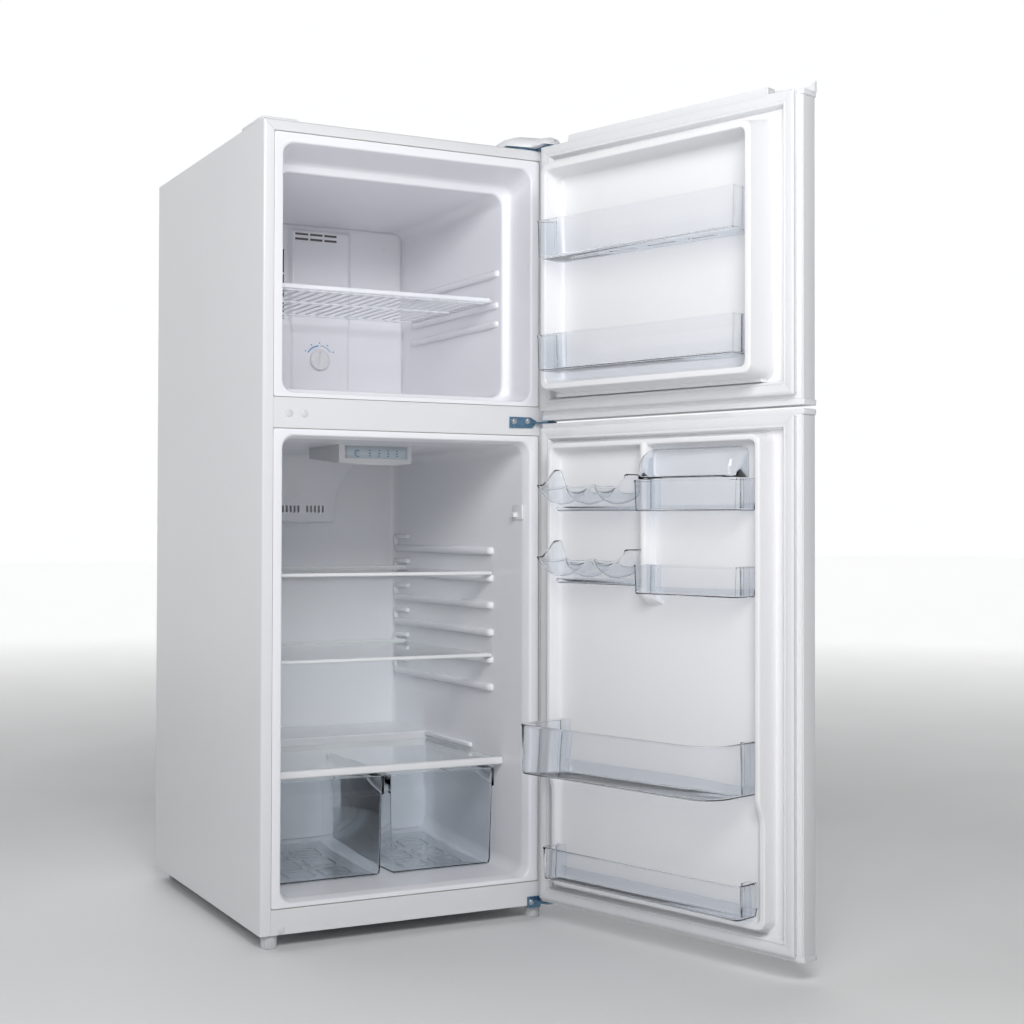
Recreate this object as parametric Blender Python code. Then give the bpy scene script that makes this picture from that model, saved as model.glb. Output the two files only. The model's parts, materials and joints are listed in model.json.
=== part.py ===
"""Top freezer refrigerator, an assembly of separate pieces, standing with both doors open.

Lengths and places are in millimetres, and the mesh helpers turn them into metres.
Cabinet frame: x to the right seen from the front, y to the back from the cabinet's front face,
z up from the underside of the cabinet body. Each door is built shut, in a frame whose origin is
on the hinge axis, and then turned open by its parent empty.
"""

import math

import bmesh
import bpy
from mathutils import Vector

MM = 0.001
GAP = 0.3                     # clearance between pieces that touch
SHEET = 0.7                   # steel sheet of the outer shell
WALL = 2.0                    # thermoformed liners
CLEAR_WALL = 2.4              # clear bins and drawers

# Driving dimensions of the cabinet
WIDTH = 600.0
DEPTH = 675.0
HEIGHT = 1490.0
FOOT_HEIGHT = 26.0
FLANGE = 20.6                 # front return of the steel shell
OPENING_HALF = 260.0          # half the width of both openings
FREEZER_Z = (990.0, 1451.0)   # lower and upper edge of the freezer opening
FRIDGE_Z = (55.0, 911.0)      # the same of the fresh food opening
MULLION_Z = (924.0, 980.0)    # steel cover between the compartments
KICK_TOP = 46.0
THROAT_DEPTH = 85.0           # the freezer opening is wider down to this depth
FREEZER_HALF = 240.0          # half the width behind the throat
FREEZER_BACK = 622.0
COVER_FACE = 560.0            # front of the evaporator cover
FRIDGE_BACK = 620.0
FRIDGE_HALF = 254.0           # half the width behind the opening's lip
FRIDGE_INNER_Z = (59.0, 906.0)
HUMP_FRONT = 440.0            # the fresh food floor steps up here, over the compressor niche
HUMP_TOP = 290.0
NICHE_FOOT = 475.0            # the niche's sloping front, at its foot and at its top
NICHE_FRONT = 505.0
NICHE_TOP = 215.0

# Doors, in the frame of their hinge axis: x to the hinge side, y to the back when shut
HINGE_X = WIDTH / 2 - 10.7
HINGE_Y = -29.2
OPEN_ANGLE = 107.0
DOOR_HINGE_EDGE = 10.7
DOOR_FREE_EDGE = -589.3
DOOR_FRONT = -26.0
RIM = 14.0                    # flat rim of the inner liner
GASKET_FACE = 28.2            # soft seal, 1 mm short of the cabinet when shut
DIKE_BASE_X = (-540.0, -38.0)
DIKE_WIDTH = 21.0             # of the raised ring, at its foot
FLOOR = 36.0                  # recessed middle of the inner liner
FREEZER_DOOR_Z = (952.0, 1489.5)
FRIDGE_DOOR_Z = (12.0, 946.0)
CAP_HEIGHT = 10.0
BIN_X = (-516.5, -61.5)       # between the dikes

SKIN_BACK = 11.7              # back of the skin's folded edges
GASKET_WIDTH = 22.0

DAIRY_PIVOT = (-402.0, 66.0, 862.0)

# Pieces inside the cabinet
CORNER = 16.0                 # corner radius of the openings
LIP_DEPTH = 25.0              # depth of the fresh food opening's sloping lip
FREEZER_INNER_Z = (1004.0, 1414.0)
FREEZER_RIB_TOPS = (1263.0, 1201.0, 1153.0)
FREEZER_RIB_REACH = 12.0
DUCT_X = (-35.0, 102.0)       # raised duct on the evaporator cover
DUCT_DEPTH = 12.0
FAN_CENTRE = (33.0, 583.0, 1320.0)
FAN_RADIUS = 52.0
FAN_BLADES = 5
FINS = 14
DIAL_AT = (31.0, 1113.0)
DIAL_RADIUS = 22.0
WIRE_SHELF_FRONT = 112.0
WIRE_SHELF_Z = 1201.0 + GAP
WIRE_SHELF_HALF = 236.0
WIRE_SHELF_DEPTH = 385.0
WIRE_GAPS = 18
SHELF_RIBS = 6
SHELF_RIB_PITCH = 55.8
SHELF_RIB_TOP = 702.0
UPPER_SHELF_RIB = 1           # counted from the top rib, 0
LOWER_SHELF_RIB = 4
GLASS_SHELF_FRONT = 140.0
GLASS_SHELF_HALF = 246.0
GLASS_SHELF_DEPTH = 415.0
CRISPER_COVER_Z = 272.0
CRISPER_COVER_HALF = 250.0
CRISPER_FRONT = 100.0
CRISPER_Z = 62.0
CRISPER_WIDTH = 235.0
CRISPER_DEPTH = 322.0
CRISPER_HEIGHT = 196.0
SWITCH_AT = (248.2, 47.0, 768.5)
CONTROL_HALF = 79.0
CONTROL_FRONT = (168.0, 155.0)  # y of the control box at its corners and at its middle
CONTROL_BUTTON = (-43.0, 157.0, 888.0)
BUTTON_RADIUS = 6.0
FOOT_RADIUS = 15.0
FRONT_FOOT = (276.0, 20.0)
REAR_FOOT = (262.0, 645.0)
RAIL_THICKNESS = 3.0
COMPRESSOR_AT = (60.0, 590.0)


# ---------------------------------------------------------------- materials


def material(name, colour, roughness, metallic=0.0, transmission=0.0):
    made = bpy.data.materials.new(name)
    made.use_nodes = True
    shader = made.node_tree.nodes["Principled BSDF"]
    shader.inputs["Base Color"].default_value = (*colour, 1.0)
    shader.inputs["Roughness"].default_value = roughness
    shader.inputs["Metallic"].default_value = metallic
    shader.inputs["Transmission Weight"].default_value = transmission
    return made


def make_materials():
    return {
        "steel": material("white_painted_steel", (0.86, 0.87, 0.89), 0.35),
        "back": material("galvanised_steel", (0.62, 0.64, 0.66), 0.45, 0.9),
        "plastic": material("white_plastic", (0.88, 0.88, 0.90), 0.4),
        "liner": material("white_liner", (0.86, 0.87, 0.90), 0.3),
        "clear": material("clear_plastic", (0.72, 0.79, 0.84), 0.08, 0.0, 0.8),
        "glass": material("shelf_glass", (0.75, 0.84, 0.84), 0.05, 0.0, 0.85),
        "gasket": material("gasket_vinyl", (0.83, 0.83, 0.85), 0.6),
        "foam": material("insulation_foam", (0.85, 0.78, 0.55), 0.9),
        "zinc": material("zinc_plated_steel", (0.30, 0.42, 0.55), 0.35, 0.9),
        "aluminium": material("aluminium_fins", (0.75, 0.76, 0.78), 0.4, 0.9),
        "black": material("black_enamel", (0.03, 0.03, 0.035), 0.4),
        "grey": material("grey_panel", (0.50, 0.55, 0.60), 0.4),
        "wire": material("coated_wire", (0.85, 0.88, 0.92), 0.35),
    }


# ---------------------------------------------------------------- mesh helpers


def clear_scene():
    for old in list(bpy.data.objects):
        bpy.data.objects.remove(old, do_unlink=True)


def empty(name, location, parent=None, turn=0.0):
    made = bpy.data.objects.new(name, None)
    bpy.context.scene.collection.objects.link(made)
    made.location = Vector(location) * MM
    made.rotation_euler = (0.0, 0.0, math.radians(turn))
    made.parent = parent
    return made


def add_object(name, shape, look, parent, smooth_angle=None):
    """Turns a bmesh in millimetres into a scene object in metres, with its faces pointing out."""
    bmesh.ops.recalc_face_normals(shape, faces=shape.faces)
    bmesh.ops.scale(shape, vec=(MM, MM, MM), verts=shape.verts)
    mesh = bpy.data.meshes.new(name)
    shape.to_mesh(mesh)
    shape.free()
    mesh.materials.append(look)
    if smooth_angle:
        mesh.shade_smooth()
        mesh.set_sharp_from_angle(angle=math.radians(smooth_angle))
    made = bpy.data.objects.new(name, mesh)
    bpy.context.scene.collection.objects.link(made)
    made.parent = parent
    return made


def add_loft(shape, loops):
    """Joins loops of equal length with quads and caps the first and the last."""
    rings = [[shape.verts.new(point) for point in loop] for loop in loops]
    for lower, upper in zip(rings, rings[1:]):
        for i, corner in enumerate(lower):
            following = (i + 1) % len(lower)
            shape.faces.new((corner, lower[following], upper[following], upper[i]))
    shape.faces.new(rings[0])
    shape.faces.new(rings[-1])


def loft(name, loops, look, parent, smooth_angle=30):
    shape = bmesh.new()
    add_loft(shape, loops)
    return add_object(name, shape, look, parent, smooth_angle)


def rectangle(span_a, span_b, radius=0.0, steps=3):
    """Corners of a rectangle in the plane (a, b), rounded by arcs where a radius is given."""
    centres = (
        (span_a[1], span_b[1], 0.0),
        (span_a[0], span_b[1], 90.0),
        (span_a[0], span_b[0], 180.0),
        (span_a[1], span_b[0], 270.0),
    )
    if not radius:
        return [(a, b) for a, b, _ in centres]
    points = []
    for a, b, start in centres:
        middle_a = a + (-radius if a == span_a[1] else radius)
        middle_b = b + (-radius if b == span_b[1] else radius)
        for step in range(steps + 1):
            angle = math.radians(start + 90.0 * step / steps)
            points.append((middle_a + radius * math.cos(angle), middle_b + radius * math.sin(angle)))
    return points


def facing_y(outline, y):
    return [(a, y, b) for a, b in outline]


def facing_z(outline, z):
    return [(a, b, z) for a, b in outline]


def facing_x(outline, x):
    return [(x, a, b) for a, b in outline]


def circle(centre, radius, count):
    turn = 2 * math.pi / count
    return [
        (centre[0] + radius * math.cos(i * turn), centre[1] + radius * math.sin(i * turn))
        for i in range(count)
    ]


def add_box(shape, span_x, span_y, span_z):
    outline = rectangle(span_x, span_y)
    add_loft(shape, [facing_z(outline, span_z[0]), facing_z(outline, span_z[1])])


def box(name, span_x, span_y, span_z, look, parent):
    shape = bmesh.new()
    add_box(shape, span_x, span_y, span_z)
    return add_object(name, shape, look, parent)


def prism(name, outline, place, span, look, parent, smooth_angle=None):
    """Extrudes an outline between two planes; place is facing_x, facing_y or facing_z."""
    return loft(name, [place(outline, span[0]), place(outline, span[1])], look, parent, smooth_angle)


def cutter(name, parent, *boxes):
    """A hidden tool for a Boolean, made of boxes given as (span_x, span_y, span_z)."""
    shape = bmesh.new()
    for spans in boxes:
        add_box(shape, *spans)
    mesh = bpy.data.meshes.new(name)
    bmesh.ops.recalc_face_normals(shape, faces=shape.faces)
    bmesh.ops.scale(shape, vec=(MM, MM, MM), verts=shape.verts)
    shape.to_mesh(mesh)
    shape.free()
    made = bpy.data.objects.new(name, mesh)
    bpy.context.scene.collection.objects.link(made)
    made.parent = parent
    hide(made)
    return made


def hide(tool):
    tool.hide_render = True
    tool.display_type = "WIRE"


def boolean(target, tool, operation="DIFFERENCE"):
    step = target.modifiers.new(tool.name, "BOOLEAN")
    step.operation = operation
    step.object = tool


def grown(span, by):
    return (span[0] - by, span[1] + by)


def bin_tray(name, span_x, span_y, span_z, look, parent, taper=4.0, radius=12.0):
    """An open-topped tray whose walls lean outwards by the taper."""
    low = rectangle(grown(span_x, -taper), grown(span_y, -taper), radius, 2)
    high = rectangle(span_x, span_y, radius, 2)
    inner_radius = radius - CLEAR_WALL
    inner_high = rectangle(
        grown(span_x, -CLEAR_WALL), grown(span_y, -CLEAR_WALL), inner_radius, 2
    )
    inner_low = rectangle(
        grown(span_x, -taper - CLEAR_WALL), grown(span_y, -taper - CLEAR_WALL), inner_radius, 2
    )
    loops = [
        facing_z(low, span_z[0]),
        facing_z(high, span_z[1]),
        facing_z(inner_high, span_z[1]),
        facing_z(inner_low, span_z[0] + CLEAR_WALL),
    ]
    return loft(name, loops, look, parent)


# ---------------------------------------------------------------- cabinet shell


def side_panel(name, side, looks, root):
    """One side of the shell: a flat sheet with a return flange along its front edge."""
    outer = side * WIDTH / 2
    tip = outer - side * FLANGE
    inner = outer - side * SHEET
    outline = [
        (outer, 0.0),
        (tip, 0.0),
        (tip, SHEET),
        (inner, SHEET),
        (inner, DEPTH),
        (outer, DEPTH),
    ]
    prism(name, outline, facing_z, (0.0, HEIGHT), looks["steel"], root)


def make_shell(looks, root):
    side_panel("side_panel_left", -1, looks, root)
    side_panel("side_panel_right", 1, looks, root)
    between = WIDTH / 2 - SHEET - GAP
    front_half = WIDTH / 2 - FLANGE - GAP
    full = (-between, between)
    behind_flange = SHEET + GAP
    top = box(
        "top_panel", full, (behind_flange, DEPTH), (HEIGHT - SHEET, HEIGHT), looks["steel"], root
    )
    flange = cutter(
        "top_flange_tool",
        root,
        ((-front_half, front_half), (0.0, SHEET), (HEIGHT - FLANGE, HEIGHT)),
        ((-front_half, front_half), (0.0, behind_flange + SHEET), (HEIGHT - SHEET, HEIGHT)),
    )
    boolean(top, flange, "UNION")
    rear_z = (NICHE_TOP + SHEET + GAP, HEIGHT - SHEET - GAP)
    box("rear_panel", full, (DEPTH - SHEET, DEPTH), rear_z, looks["back"], root)
    outline = [
        (behind_flange, 0.0),
        (NICHE_FOOT, 0.0),
        (NICHE_FRONT, NICHE_TOP),
        (DEPTH, NICHE_TOP),
        (DEPTH, NICHE_TOP + SHEET),
        (NICHE_FRONT - SHEET, NICHE_TOP + SHEET),
        (NICHE_FOOT - SHEET, SHEET),
        (behind_flange, SHEET),
    ]
    prism("base_plate", outline, facing_x, full, looks["back"], root)
    rail = box(
        "compressor_rail", full, (NICHE_FOOT + 20, DEPTH), (0.0, RAIL_THICKNESS), looks["back"], root
    )
    boolean(rail, rear_feet_tool(root), "UNION")
    box("kick_rail", (-front_half, front_half), (0.0, SHEET), (0.0, KICK_TOP), looks["steel"], root)
    box("mullion_cover", (-front_half, front_half), (0.0, SHEET), MULLION_Z, looks["steel"], root)


def rear_feet_tool(root):
    """The two feet pressed out of the compressor rail's ends."""
    shape = bmesh.new()
    for side in (-1, 1):
        outline = circle((side * REAR_FOOT[0], REAR_FOOT[1]), FOOT_RADIUS, 16)
        add_loft(shape, [facing_z(outline, -FOOT_HEIGHT), facing_z(outline, RAIL_THICKNESS / 2)])
    tool = add_object("rear_feet_tool", shape, bpy.data.materials[0], root)
    hide(tool)
    return tool


def make_front_feet(looks, root):
    for name, side in (("foot_front_left", -1), ("foot_front_right", 1)):
        outline = circle((side * FRONT_FOOT[0], FRONT_FOOT[1]), FOOT_RADIUS, 20)
        prism(name, outline, facing_z, (-FOOT_HEIGHT, -GAP), looks["plastic"], root, 30)


# ---------------------------------------------------------------- liners and foam


def freezer_pocket(offset):
    """Loops of the freezer pocket. Offset 0 gives its inner face, and more lies in the foam."""
    front = SHEET + GAP
    half = OPENING_HALF
    mouth = rectangle(grown((-half, half), offset), grown(FREEZER_Z, offset), CORNER)
    throat_half = half - 2
    throat_z = (FREEZER_Z[0] + 4, FREEZER_Z[1] - 19)
    throat = rectangle(grown((-throat_half, throat_half), offset), grown(throat_z, offset), CORNER)
    inner_x = grown((-FREEZER_HALF, FREEZER_HALF), offset)
    inner = rectangle(inner_x, grown(FREEZER_INNER_Z, offset), CORNER)
    return [
        facing_y(mouth, front + offset),
        facing_y(throat, THROAT_DEPTH + offset),
        facing_y(inner, THROAT_DEPTH + offset),
        facing_y(inner, FREEZER_BACK + offset),
    ]


def fridge_pocket(offset):
    front = SHEET + GAP
    mouth = rectangle(
        grown((-OPENING_HALF, OPENING_HALF), offset), grown(FRIDGE_Z, offset), CORNER
    )
    inner_x = grown((-FRIDGE_HALF, FRIDGE_HALF), offset)
    inner = rectangle(inner_x, grown(FRIDGE_INNER_Z, offset), CORNER)
    return [
        facing_y(mouth, front + offset),
        facing_y(inner, LIP_DEPTH + offset),
        facing_y(inner, FRIDGE_BACK + offset),
    ]


def make_liner(name, pocket, flange_z, looks, root):
    """A pocket with a flat flange round its mouth, which reaches behind the steel front."""
    half = WIDTH / 2 - SHEET - GAP
    front = SHEET + GAP
    corners = rectangle((-half, half), flange_z, 1.0)
    loops = list(reversed(pocket(WALL)))
    loops.append(facing_y(corners, front + WALL))
    loops.append(facing_y(corners, front))
    loops += pocket(0.0)
    return loft(name, loops, looks["liner"], root)


def add_rib(shape, side, wall, reach, span_y, span_z):
    """A straight shelf rib, rooted in the wall of a liner."""
    root_x = side * (wall + WALL / 2)
    tip_x = side * (wall - reach)
    add_box(shape, sorted((root_x, tip_x)), span_y, span_z)


def ribs_tool(name, wall, reach, span_y, tops, height, root):
    """All ribs of one compartment, on both walls, as one tool."""
    shape = bmesh.new()
    for side in (-1, 1):
        for top in tops:
            add_rib(shape, side, wall, reach, span_y, (top - height, top))
    tool = add_object(name, shape, bpy.data.materials[0], root)
    hide(tool)
    return tool


def make_liners(looks, root):
    behind = 6.0
    freezer_flange = (MULLION_Z[1] - behind, HEIGHT - SHEET - GAP)
    fridge_flange = (KICK_TOP - behind, MULLION_Z[0] + behind)
    freezer = make_liner("freezer_liner", freezer_pocket, freezer_flange, looks, root)
    freezer_ribs = ribs_tool(
        "freezer_ribs", FREEZER_HALF, FREEZER_RIB_REACH, (98, 500), FREEZER_RIB_TOPS, 12, root
    )
    boolean(freezer, freezer_ribs, "UNION")
    fridge = make_liner("fridge_liner", fridge_pocket, fridge_flange, looks, root)
    half = FRIDGE_HALF + 1
    section = rectangle((-half, half), (FRIDGE_INNER_Z[0] - 1, HUMP_TOP + 2 * CORNER), CORNER + 1)
    level = [(x, min(z, HUMP_TOP)) for x, z in section]
    span = (HUMP_FRONT, FRIDGE_BACK + 1)
    hump = prism("hump_tool", level, facing_y, span, looks["liner"], root)
    hide(hump)
    boolean(fridge, hump, "UNION")
    boolean(fridge, under_hump_tool("under_hump_tool", WALL, root))
    tops = [SHELF_RIB_TOP - i * SHELF_RIB_PITCH for i in range(SHELF_RIBS)]
    shelf_ribs = ribs_tool("shelf_ribs", FRIDGE_HALF, 14, (154, 600), tops, 15, root)
    boolean(fridge, shelf_ribs, "UNION")
    ledge = ribs_tool("crisper_ledges", FRIDGE_HALF, 12, (112, 435), [CRISPER_COVER_Z - GAP], 12, root)
    boolean(fridge, ledge, "UNION")
    boolean(fridge, switch_pocket_tool("liner_pocket_tool", root))


def under_hump_tool(name, offset, root):
    """The space under the raised floor, which the insulation fills."""
    side = WIDTH / 2 + 10
    return cutter(
        name, root, ((-side, side), (HUMP_FRONT + offset, DEPTH + 10), (-10.0, HUMP_TOP - offset))
    )


def make_foam(looks, root):
    """Insulation that fills the shell round both liners and above the compressor niche."""
    inset = SHEET + GAP
    front = SHEET + GAP + WALL + GAP
    half = WIDTH / 2 - inset
    foam = box(
        "cabinet_insulation",
        (-half, half),
        (front, DEPTH - inset),
        (inset, HEIGHT - inset),
        looks["foam"],
        root,
    )
    for name, pocket in (("freezer_pocket_tool", freezer_pocket), ("fridge_pocket_tool", fridge_pocket)):
        loops = pocket(WALL + GAP)
        mouth = [(x, -10.0, z) for x, _, z in loops[0]]
        tool = loft(name, [mouth, *loops], looks["foam"], root)
        hide(tool)
        if pocket is fridge_pocket:
            boolean(tool, under_hump_tool("foam_hump_tool", WALL + GAP, root))
        boolean(foam, tool)
    lift = SHEET + GAP
    outline = [
        (NICHE_FOOT - 2 * lift, -10.0),
        (NICHE_FOOT - 2 * lift, SHEET),
        (NICHE_FRONT - 2 * lift, NICHE_TOP + lift),
        (DEPTH + 10, NICHE_TOP + lift),
        (DEPTH + 10, -10.0),
    ]
    niche = prism("niche_tool", outline, facing_x, (-WIDTH, WIDTH), looks["foam"], root)
    hide(niche)
    boolean(foam, niche)
    boolean(foam, switch_pocket_tool("foam_pocket_tool", root))


# ---------------------------------------------------------------- freezer compartment


def make_evaporator(looks, root, fan_body):
    cover_x = (-FREEZER_HALF + GAP, FREEZER_HALF - GAP)
    outline = rectangle(cover_x, grown(FREEZER_INNER_Z, -GAP), CORNER)
    span = (COVER_FACE, COVER_FACE + 3)
    cover = prism("evaporator_cover", outline, facing_y, span, looks["plastic"], root)
    duct_face = COVER_FACE - DUCT_DEPTH
    duct = cutter("duct_tool", root, (DUCT_X, (duct_face, COVER_FACE + 1), (FREEZER_INNER_Z[0] + 4, 1405)))
    boolean(cover, duct, "UNION")
    boolean(cover, vents_tool(duct_face, root))
    make_fins(looks, root)
    fan_outline = []
    for blade in range(FAN_BLADES):
        start = 2 * math.pi * blade / FAN_BLADES
        for turn, reach in ((0.0, 16), (0.18, FAN_RADIUS), (0.75, FAN_RADIUS), (0.95, 16)):
            angle = start + turn
            fan_outline.append((FAN_CENTRE[0] + reach * math.cos(angle), reach * math.sin(angle)))
    fan_at = [(x - FAN_CENTRE[0], z) for x, z in fan_outline]
    prism("evaporator_fan", fan_at, facing_y, (-9.0, 9.0), looks["grey"], fan_body)
    motor = circle((FAN_CENTRE[0], FAN_CENTRE[2]), 24, 16)
    motor_span = (FAN_CENTRE[1] + 10, FREEZER_BACK - GAP)
    prism("fan_motor", motor, facing_y, motor_span, looks["black"], root, 30)


def vents_tool(duct_face, root):
    """Two rows of three slots near the top of the duct."""
    slots = []
    for row_z in (1378.0, 1390.0):
        for slot_x in (-30.0, 7.0, 44.0):
            slots.append(((slot_x, slot_x + 33), (duct_face - 5, COVER_FACE + 10), (row_z, row_z + 6)))
    return cutter("vents_tool", root, *slots)


def make_fins(looks, root):
    """The evaporator as a comb of upright fins on a common plate."""
    left, right, low, high = -205.0, 205.0, 1018.0, 1215.0
    pitch = (right - left) / FINS
    outline = [(left, low), (right, low)]
    for fin in range(FINS):
        edge = right - fin * pitch
        outline += [(edge, high), (edge - pitch / 2, high)]
        outline += [(edge - pitch / 2, low + 12), (edge - pitch, low + 12)]
    outline.pop()
    outline[-1] = (left + pitch / 2, low + 12)
    outline.append((left, low + 12))
    span = (COVER_FACE + 8, FREEZER_BACK - 8)
    prism("evaporator_coil", outline, facing_y, span, looks["aluminium"], root)


def make_dial(looks, dial_body):
    outline = circle((0.0, 0.0), DIAL_RADIUS, 24)
    narrow = circle((0.0, 0.0), DIAL_RADIUS - 1.5, 24)
    loops = [facing_y(narrow, -9.0), facing_y(outline, -7.0), facing_y(outline, -GAP)]
    loft("freezer_dial", loops, looks["plastic"], dial_body)


def make_wire_shelf(looks, shelf_body):
    """A welded wire shelf with a plastic trim along its front."""
    half, depth, thick = WIRE_SHELF_HALF, WIRE_SHELF_DEPTH, 4.0
    trim_half = FREEZER_HALF - FREEZER_RIB_REACH - 1
    shelf = box(
        "wire_shelf", (-half, half), (14.0, depth), (0.0, thick), looks["wire"], shelf_body
    )
    pitch = (2 * half - thick) / WIRE_GAPS
    slots = []
    for slot in range(WIRE_GAPS):
        start = -half + thick + slot * pitch
        for span_y in ((20.0, depth / 2 - thick), (depth / 2, depth - thick)):
            slots.append(((start, start + pitch - thick), span_y, (-5.0, 10.0)))
    boolean(shelf, cutter("wire_shelf_tool", shelf_body, *slots))
    box(
        "wire_shelf_trim",
        (-trim_half, trim_half),
        (2.0, 14.0 - GAP),
        (-3.0, 8.0),
        looks["plastic"],
        shelf_body,
    )


# ---------------------------------------------------------------- fresh food compartment


def make_controls(looks, root, button_body):
    """The control box under the ceiling, with its recessed press button."""
    ceiling = FRIDGE_INNER_Z[1] - GAP
    front, middle = CONTROL_FRONT
    half = CONTROL_HALF
    outline = [(-half, front), (-half / 2, middle), (half / 2, middle), (half, front)]
    outline += [(half, 330), (-half, 330)]
    housing = prism("control_housing", outline, facing_z, (864, ceiling), looks["plastic"], root)
    bore = bmesh.new()
    hole = circle((CONTROL_BUTTON[0], CONTROL_BUTTON[2]), BUTTON_RADIUS + GAP, 16)
    add_loft(bore, [facing_y(hole, middle - 10), facing_y(hole, middle + 12)])
    bore_tool = add_object("button_bore_tool", bore, looks["plastic"], root)
    hide(bore_tool)
    boolean(housing, bore_tool)
    outline = circle((0.0, 0.0), BUTTON_RADIUS, 16)
    prism("control_button", outline, facing_y, (-1.0, 8.0), looks["grey"], button_body, 30)


def make_duct_cover(looks, root):
    """The cover over the cold air outlet at the top of the back wall."""
    ceiling = FRIDGE_INNER_Z[1] - GAP
    outline = [(-80, 752), (80, 752), (87, 825), (131, 880), (131, ceiling), (-131, ceiling)]
    outline += [(-131, 880), (-87, 825)]
    span = (577, FRIDGE_BACK - GAP)
    cover = prism("air_duct_cover", outline, facing_y, span, looks["plastic"], root)
    slots = []
    for group in (-1, 1):
        for slot in range(5):
            start = group * 29 + (slot - 2) * 9.5 - 2.5
            slots.append(((start, start + 5), (570, 600), (774, 788)))
    boolean(cover, cutter("outlet_tool", root, *slots))


def make_door_switch(looks, root, plunger_body):
    """The lamp switch on the right wall, which the shut door presses into its pocket."""
    wall = FRIDGE_HALF - GAP
    span_y, span_z = (28.0, 60.0), (758.0, 788.0)
    housing = box("door_switch_housing", (wall - 4, wall), span_y, span_z, looks["plastic"], root)
    boolean(housing, switch_pocket_tool("switch_slot_tool", root))
    plunger = [(-8.0, -6.0), (-8.0, 3.0), (6.0, 5.5), (6.0, -6.0)]
    prism("door_switch_plunger", plunger, facing_y, (-8.0, 8.0), looks["plastic"], plunger_body)


def switch_pocket_tool(name, root):
    x, y, z = SWITCH_AT
    return cutter(name, root, ((x - 10, x + 20), (y - 9, y + 9), (z - 7, z + 7)))


def make_glass_shelf(name, looks, body):
    """A glass plate with a slim trim on its front edge, its underside at z 0."""
    half, depth = GLASS_SHELF_HALF, GLASS_SHELF_DEPTH
    box(name, (-half, half), (12.0, depth), (0.0, 4.0), looks["glass"], body)
    box(name + "_trim", (-half, half), (0.0, 12.0 - GAP), (-1.0, 6.0), looks["plastic"], body)


def make_crisper_cover(looks, root):
    half = CRISPER_COVER_HALF
    glass_z = (CRISPER_COVER_Z, CRISPER_COVER_Z + 4)
    box("crisper_cover", (-half, half), (110, 435), glass_z, looks["glass"], root)
    trim_z = (CRISPER_COVER_Z - 8, CRISPER_COVER_Z + 7)
    box("crisper_cover_trim", (-half, half), (95, 110 - GAP), trim_z, looks["plastic"], root)


def make_crispers(looks, left_body, right_body):
    for name, body in (("crisper_left", left_body), ("crisper_right", right_body)):
        span_x = (-CRISPER_WIDTH / 2, CRISPER_WIDTH / 2)
        bin_tray(name, span_x, (0.0, CRISPER_DEPTH), (0.0, CRISPER_HEIGHT), looks["clear"], body, 4.0)


# ---------------------------------------------------------------- hinges and machine room


def pin(shape, span_z, radius=4.0):
    outline = circle((HINGE_X, HINGE_Y), radius, 12)
    add_loft(shape, [facing_z(outline, span_z[0]), facing_z(outline, span_z[1])])


def pin_tool(name, span_z, root):
    shape = bmesh.new()
    pin(shape, span_z)
    tool = add_object(name, shape, bpy.data.materials[0], root)
    hide(tool)
    return tool


def make_hinges(looks, root):
    arm_x = (HINGE_X - 17, HINGE_X + 9)
    arm_y = (HINGE_Y - 12, -GAP)
    top_z = (HEIGHT + GAP, HEIGHT + GAP + 3)
    top = box("top_hinge_bracket", (205, arm_x[1]), (4, 55), top_z, looks["zinc"], root)
    boolean(top, cutter("top_arm_tool", root, (arm_x, (arm_y[0], 6), top_z)), "UNION")
    boolean(top, pin_tool("top_pin_tool", (HEIGHT - 10, HEIGHT + 2), root), "UNION")

    plate_y = (-3.0, -GAP)
    middle = box("middle_hinge_bracket", (211, 266), plate_y, (937.5, 959.5), looks["zinc"], root)
    middle_arm = cutter("middle_arm_tool", root, ((255, arm_x[1]), arm_y, (947.5, 950.5)))
    boolean(middle, middle_arm, "UNION")
    boolean(middle, pin_tool("middle_pin_tool", (936.5, 961.5), root), "UNION")

    bottom = box("bottom_hinge_bracket", (253, 284), plate_y, (-5, 18), looks["zinc"], root)
    bottom_arm = cutter("bottom_arm_tool", root, ((260, arm_x[1]), arm_y, (7.5, 10.5)))
    boolean(bottom, bottom_arm, "UNION")
    boolean(bottom, pin_tool("bottom_pin_tool", (9, 21.5), root), "UNION")

    low = HEIGHT + GAP + 3 + GAP
    slope = [(190, low), (WIDTH / 2, low), (WIDTH / 2, 1511), (262, 1513), (240, 1511), (204, 1500)]
    cover = prism("top_hinge_cover", slope, facing_y, (HINGE_Y - 18, 62), looks["plastic"], root)
    corner = cutter("cover_corner_tool", root, ((180, 262), (-80, 3), (1480, 1530)))
    boolean(cover, corner)


def make_machine_room(looks, root):
    x, y = COMPRESSOR_AT
    sections = ((4.0, 40, 34), (30.0, 74, 60), (90.0, 82, 68), (130.0, 76, 62), (160.0, 40, 32))
    loops = []
    for z, radius_x, radius_y in sections:
        ring = circle((0.0, 0.0), 1.0, 20)
        loops.append([(x + a * radius_x, y + b * radius_y, z) for a, b in ring])
    loft("compressor", loops, looks["black"], root, 40)
    pan_x = (x - 120, x + 120)
    bin_tray("drain_pan", pan_x, (522, 660), (172, 205), looks["grey"], root, 6.0)


# ---------------------------------------------------------------- doors


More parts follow.
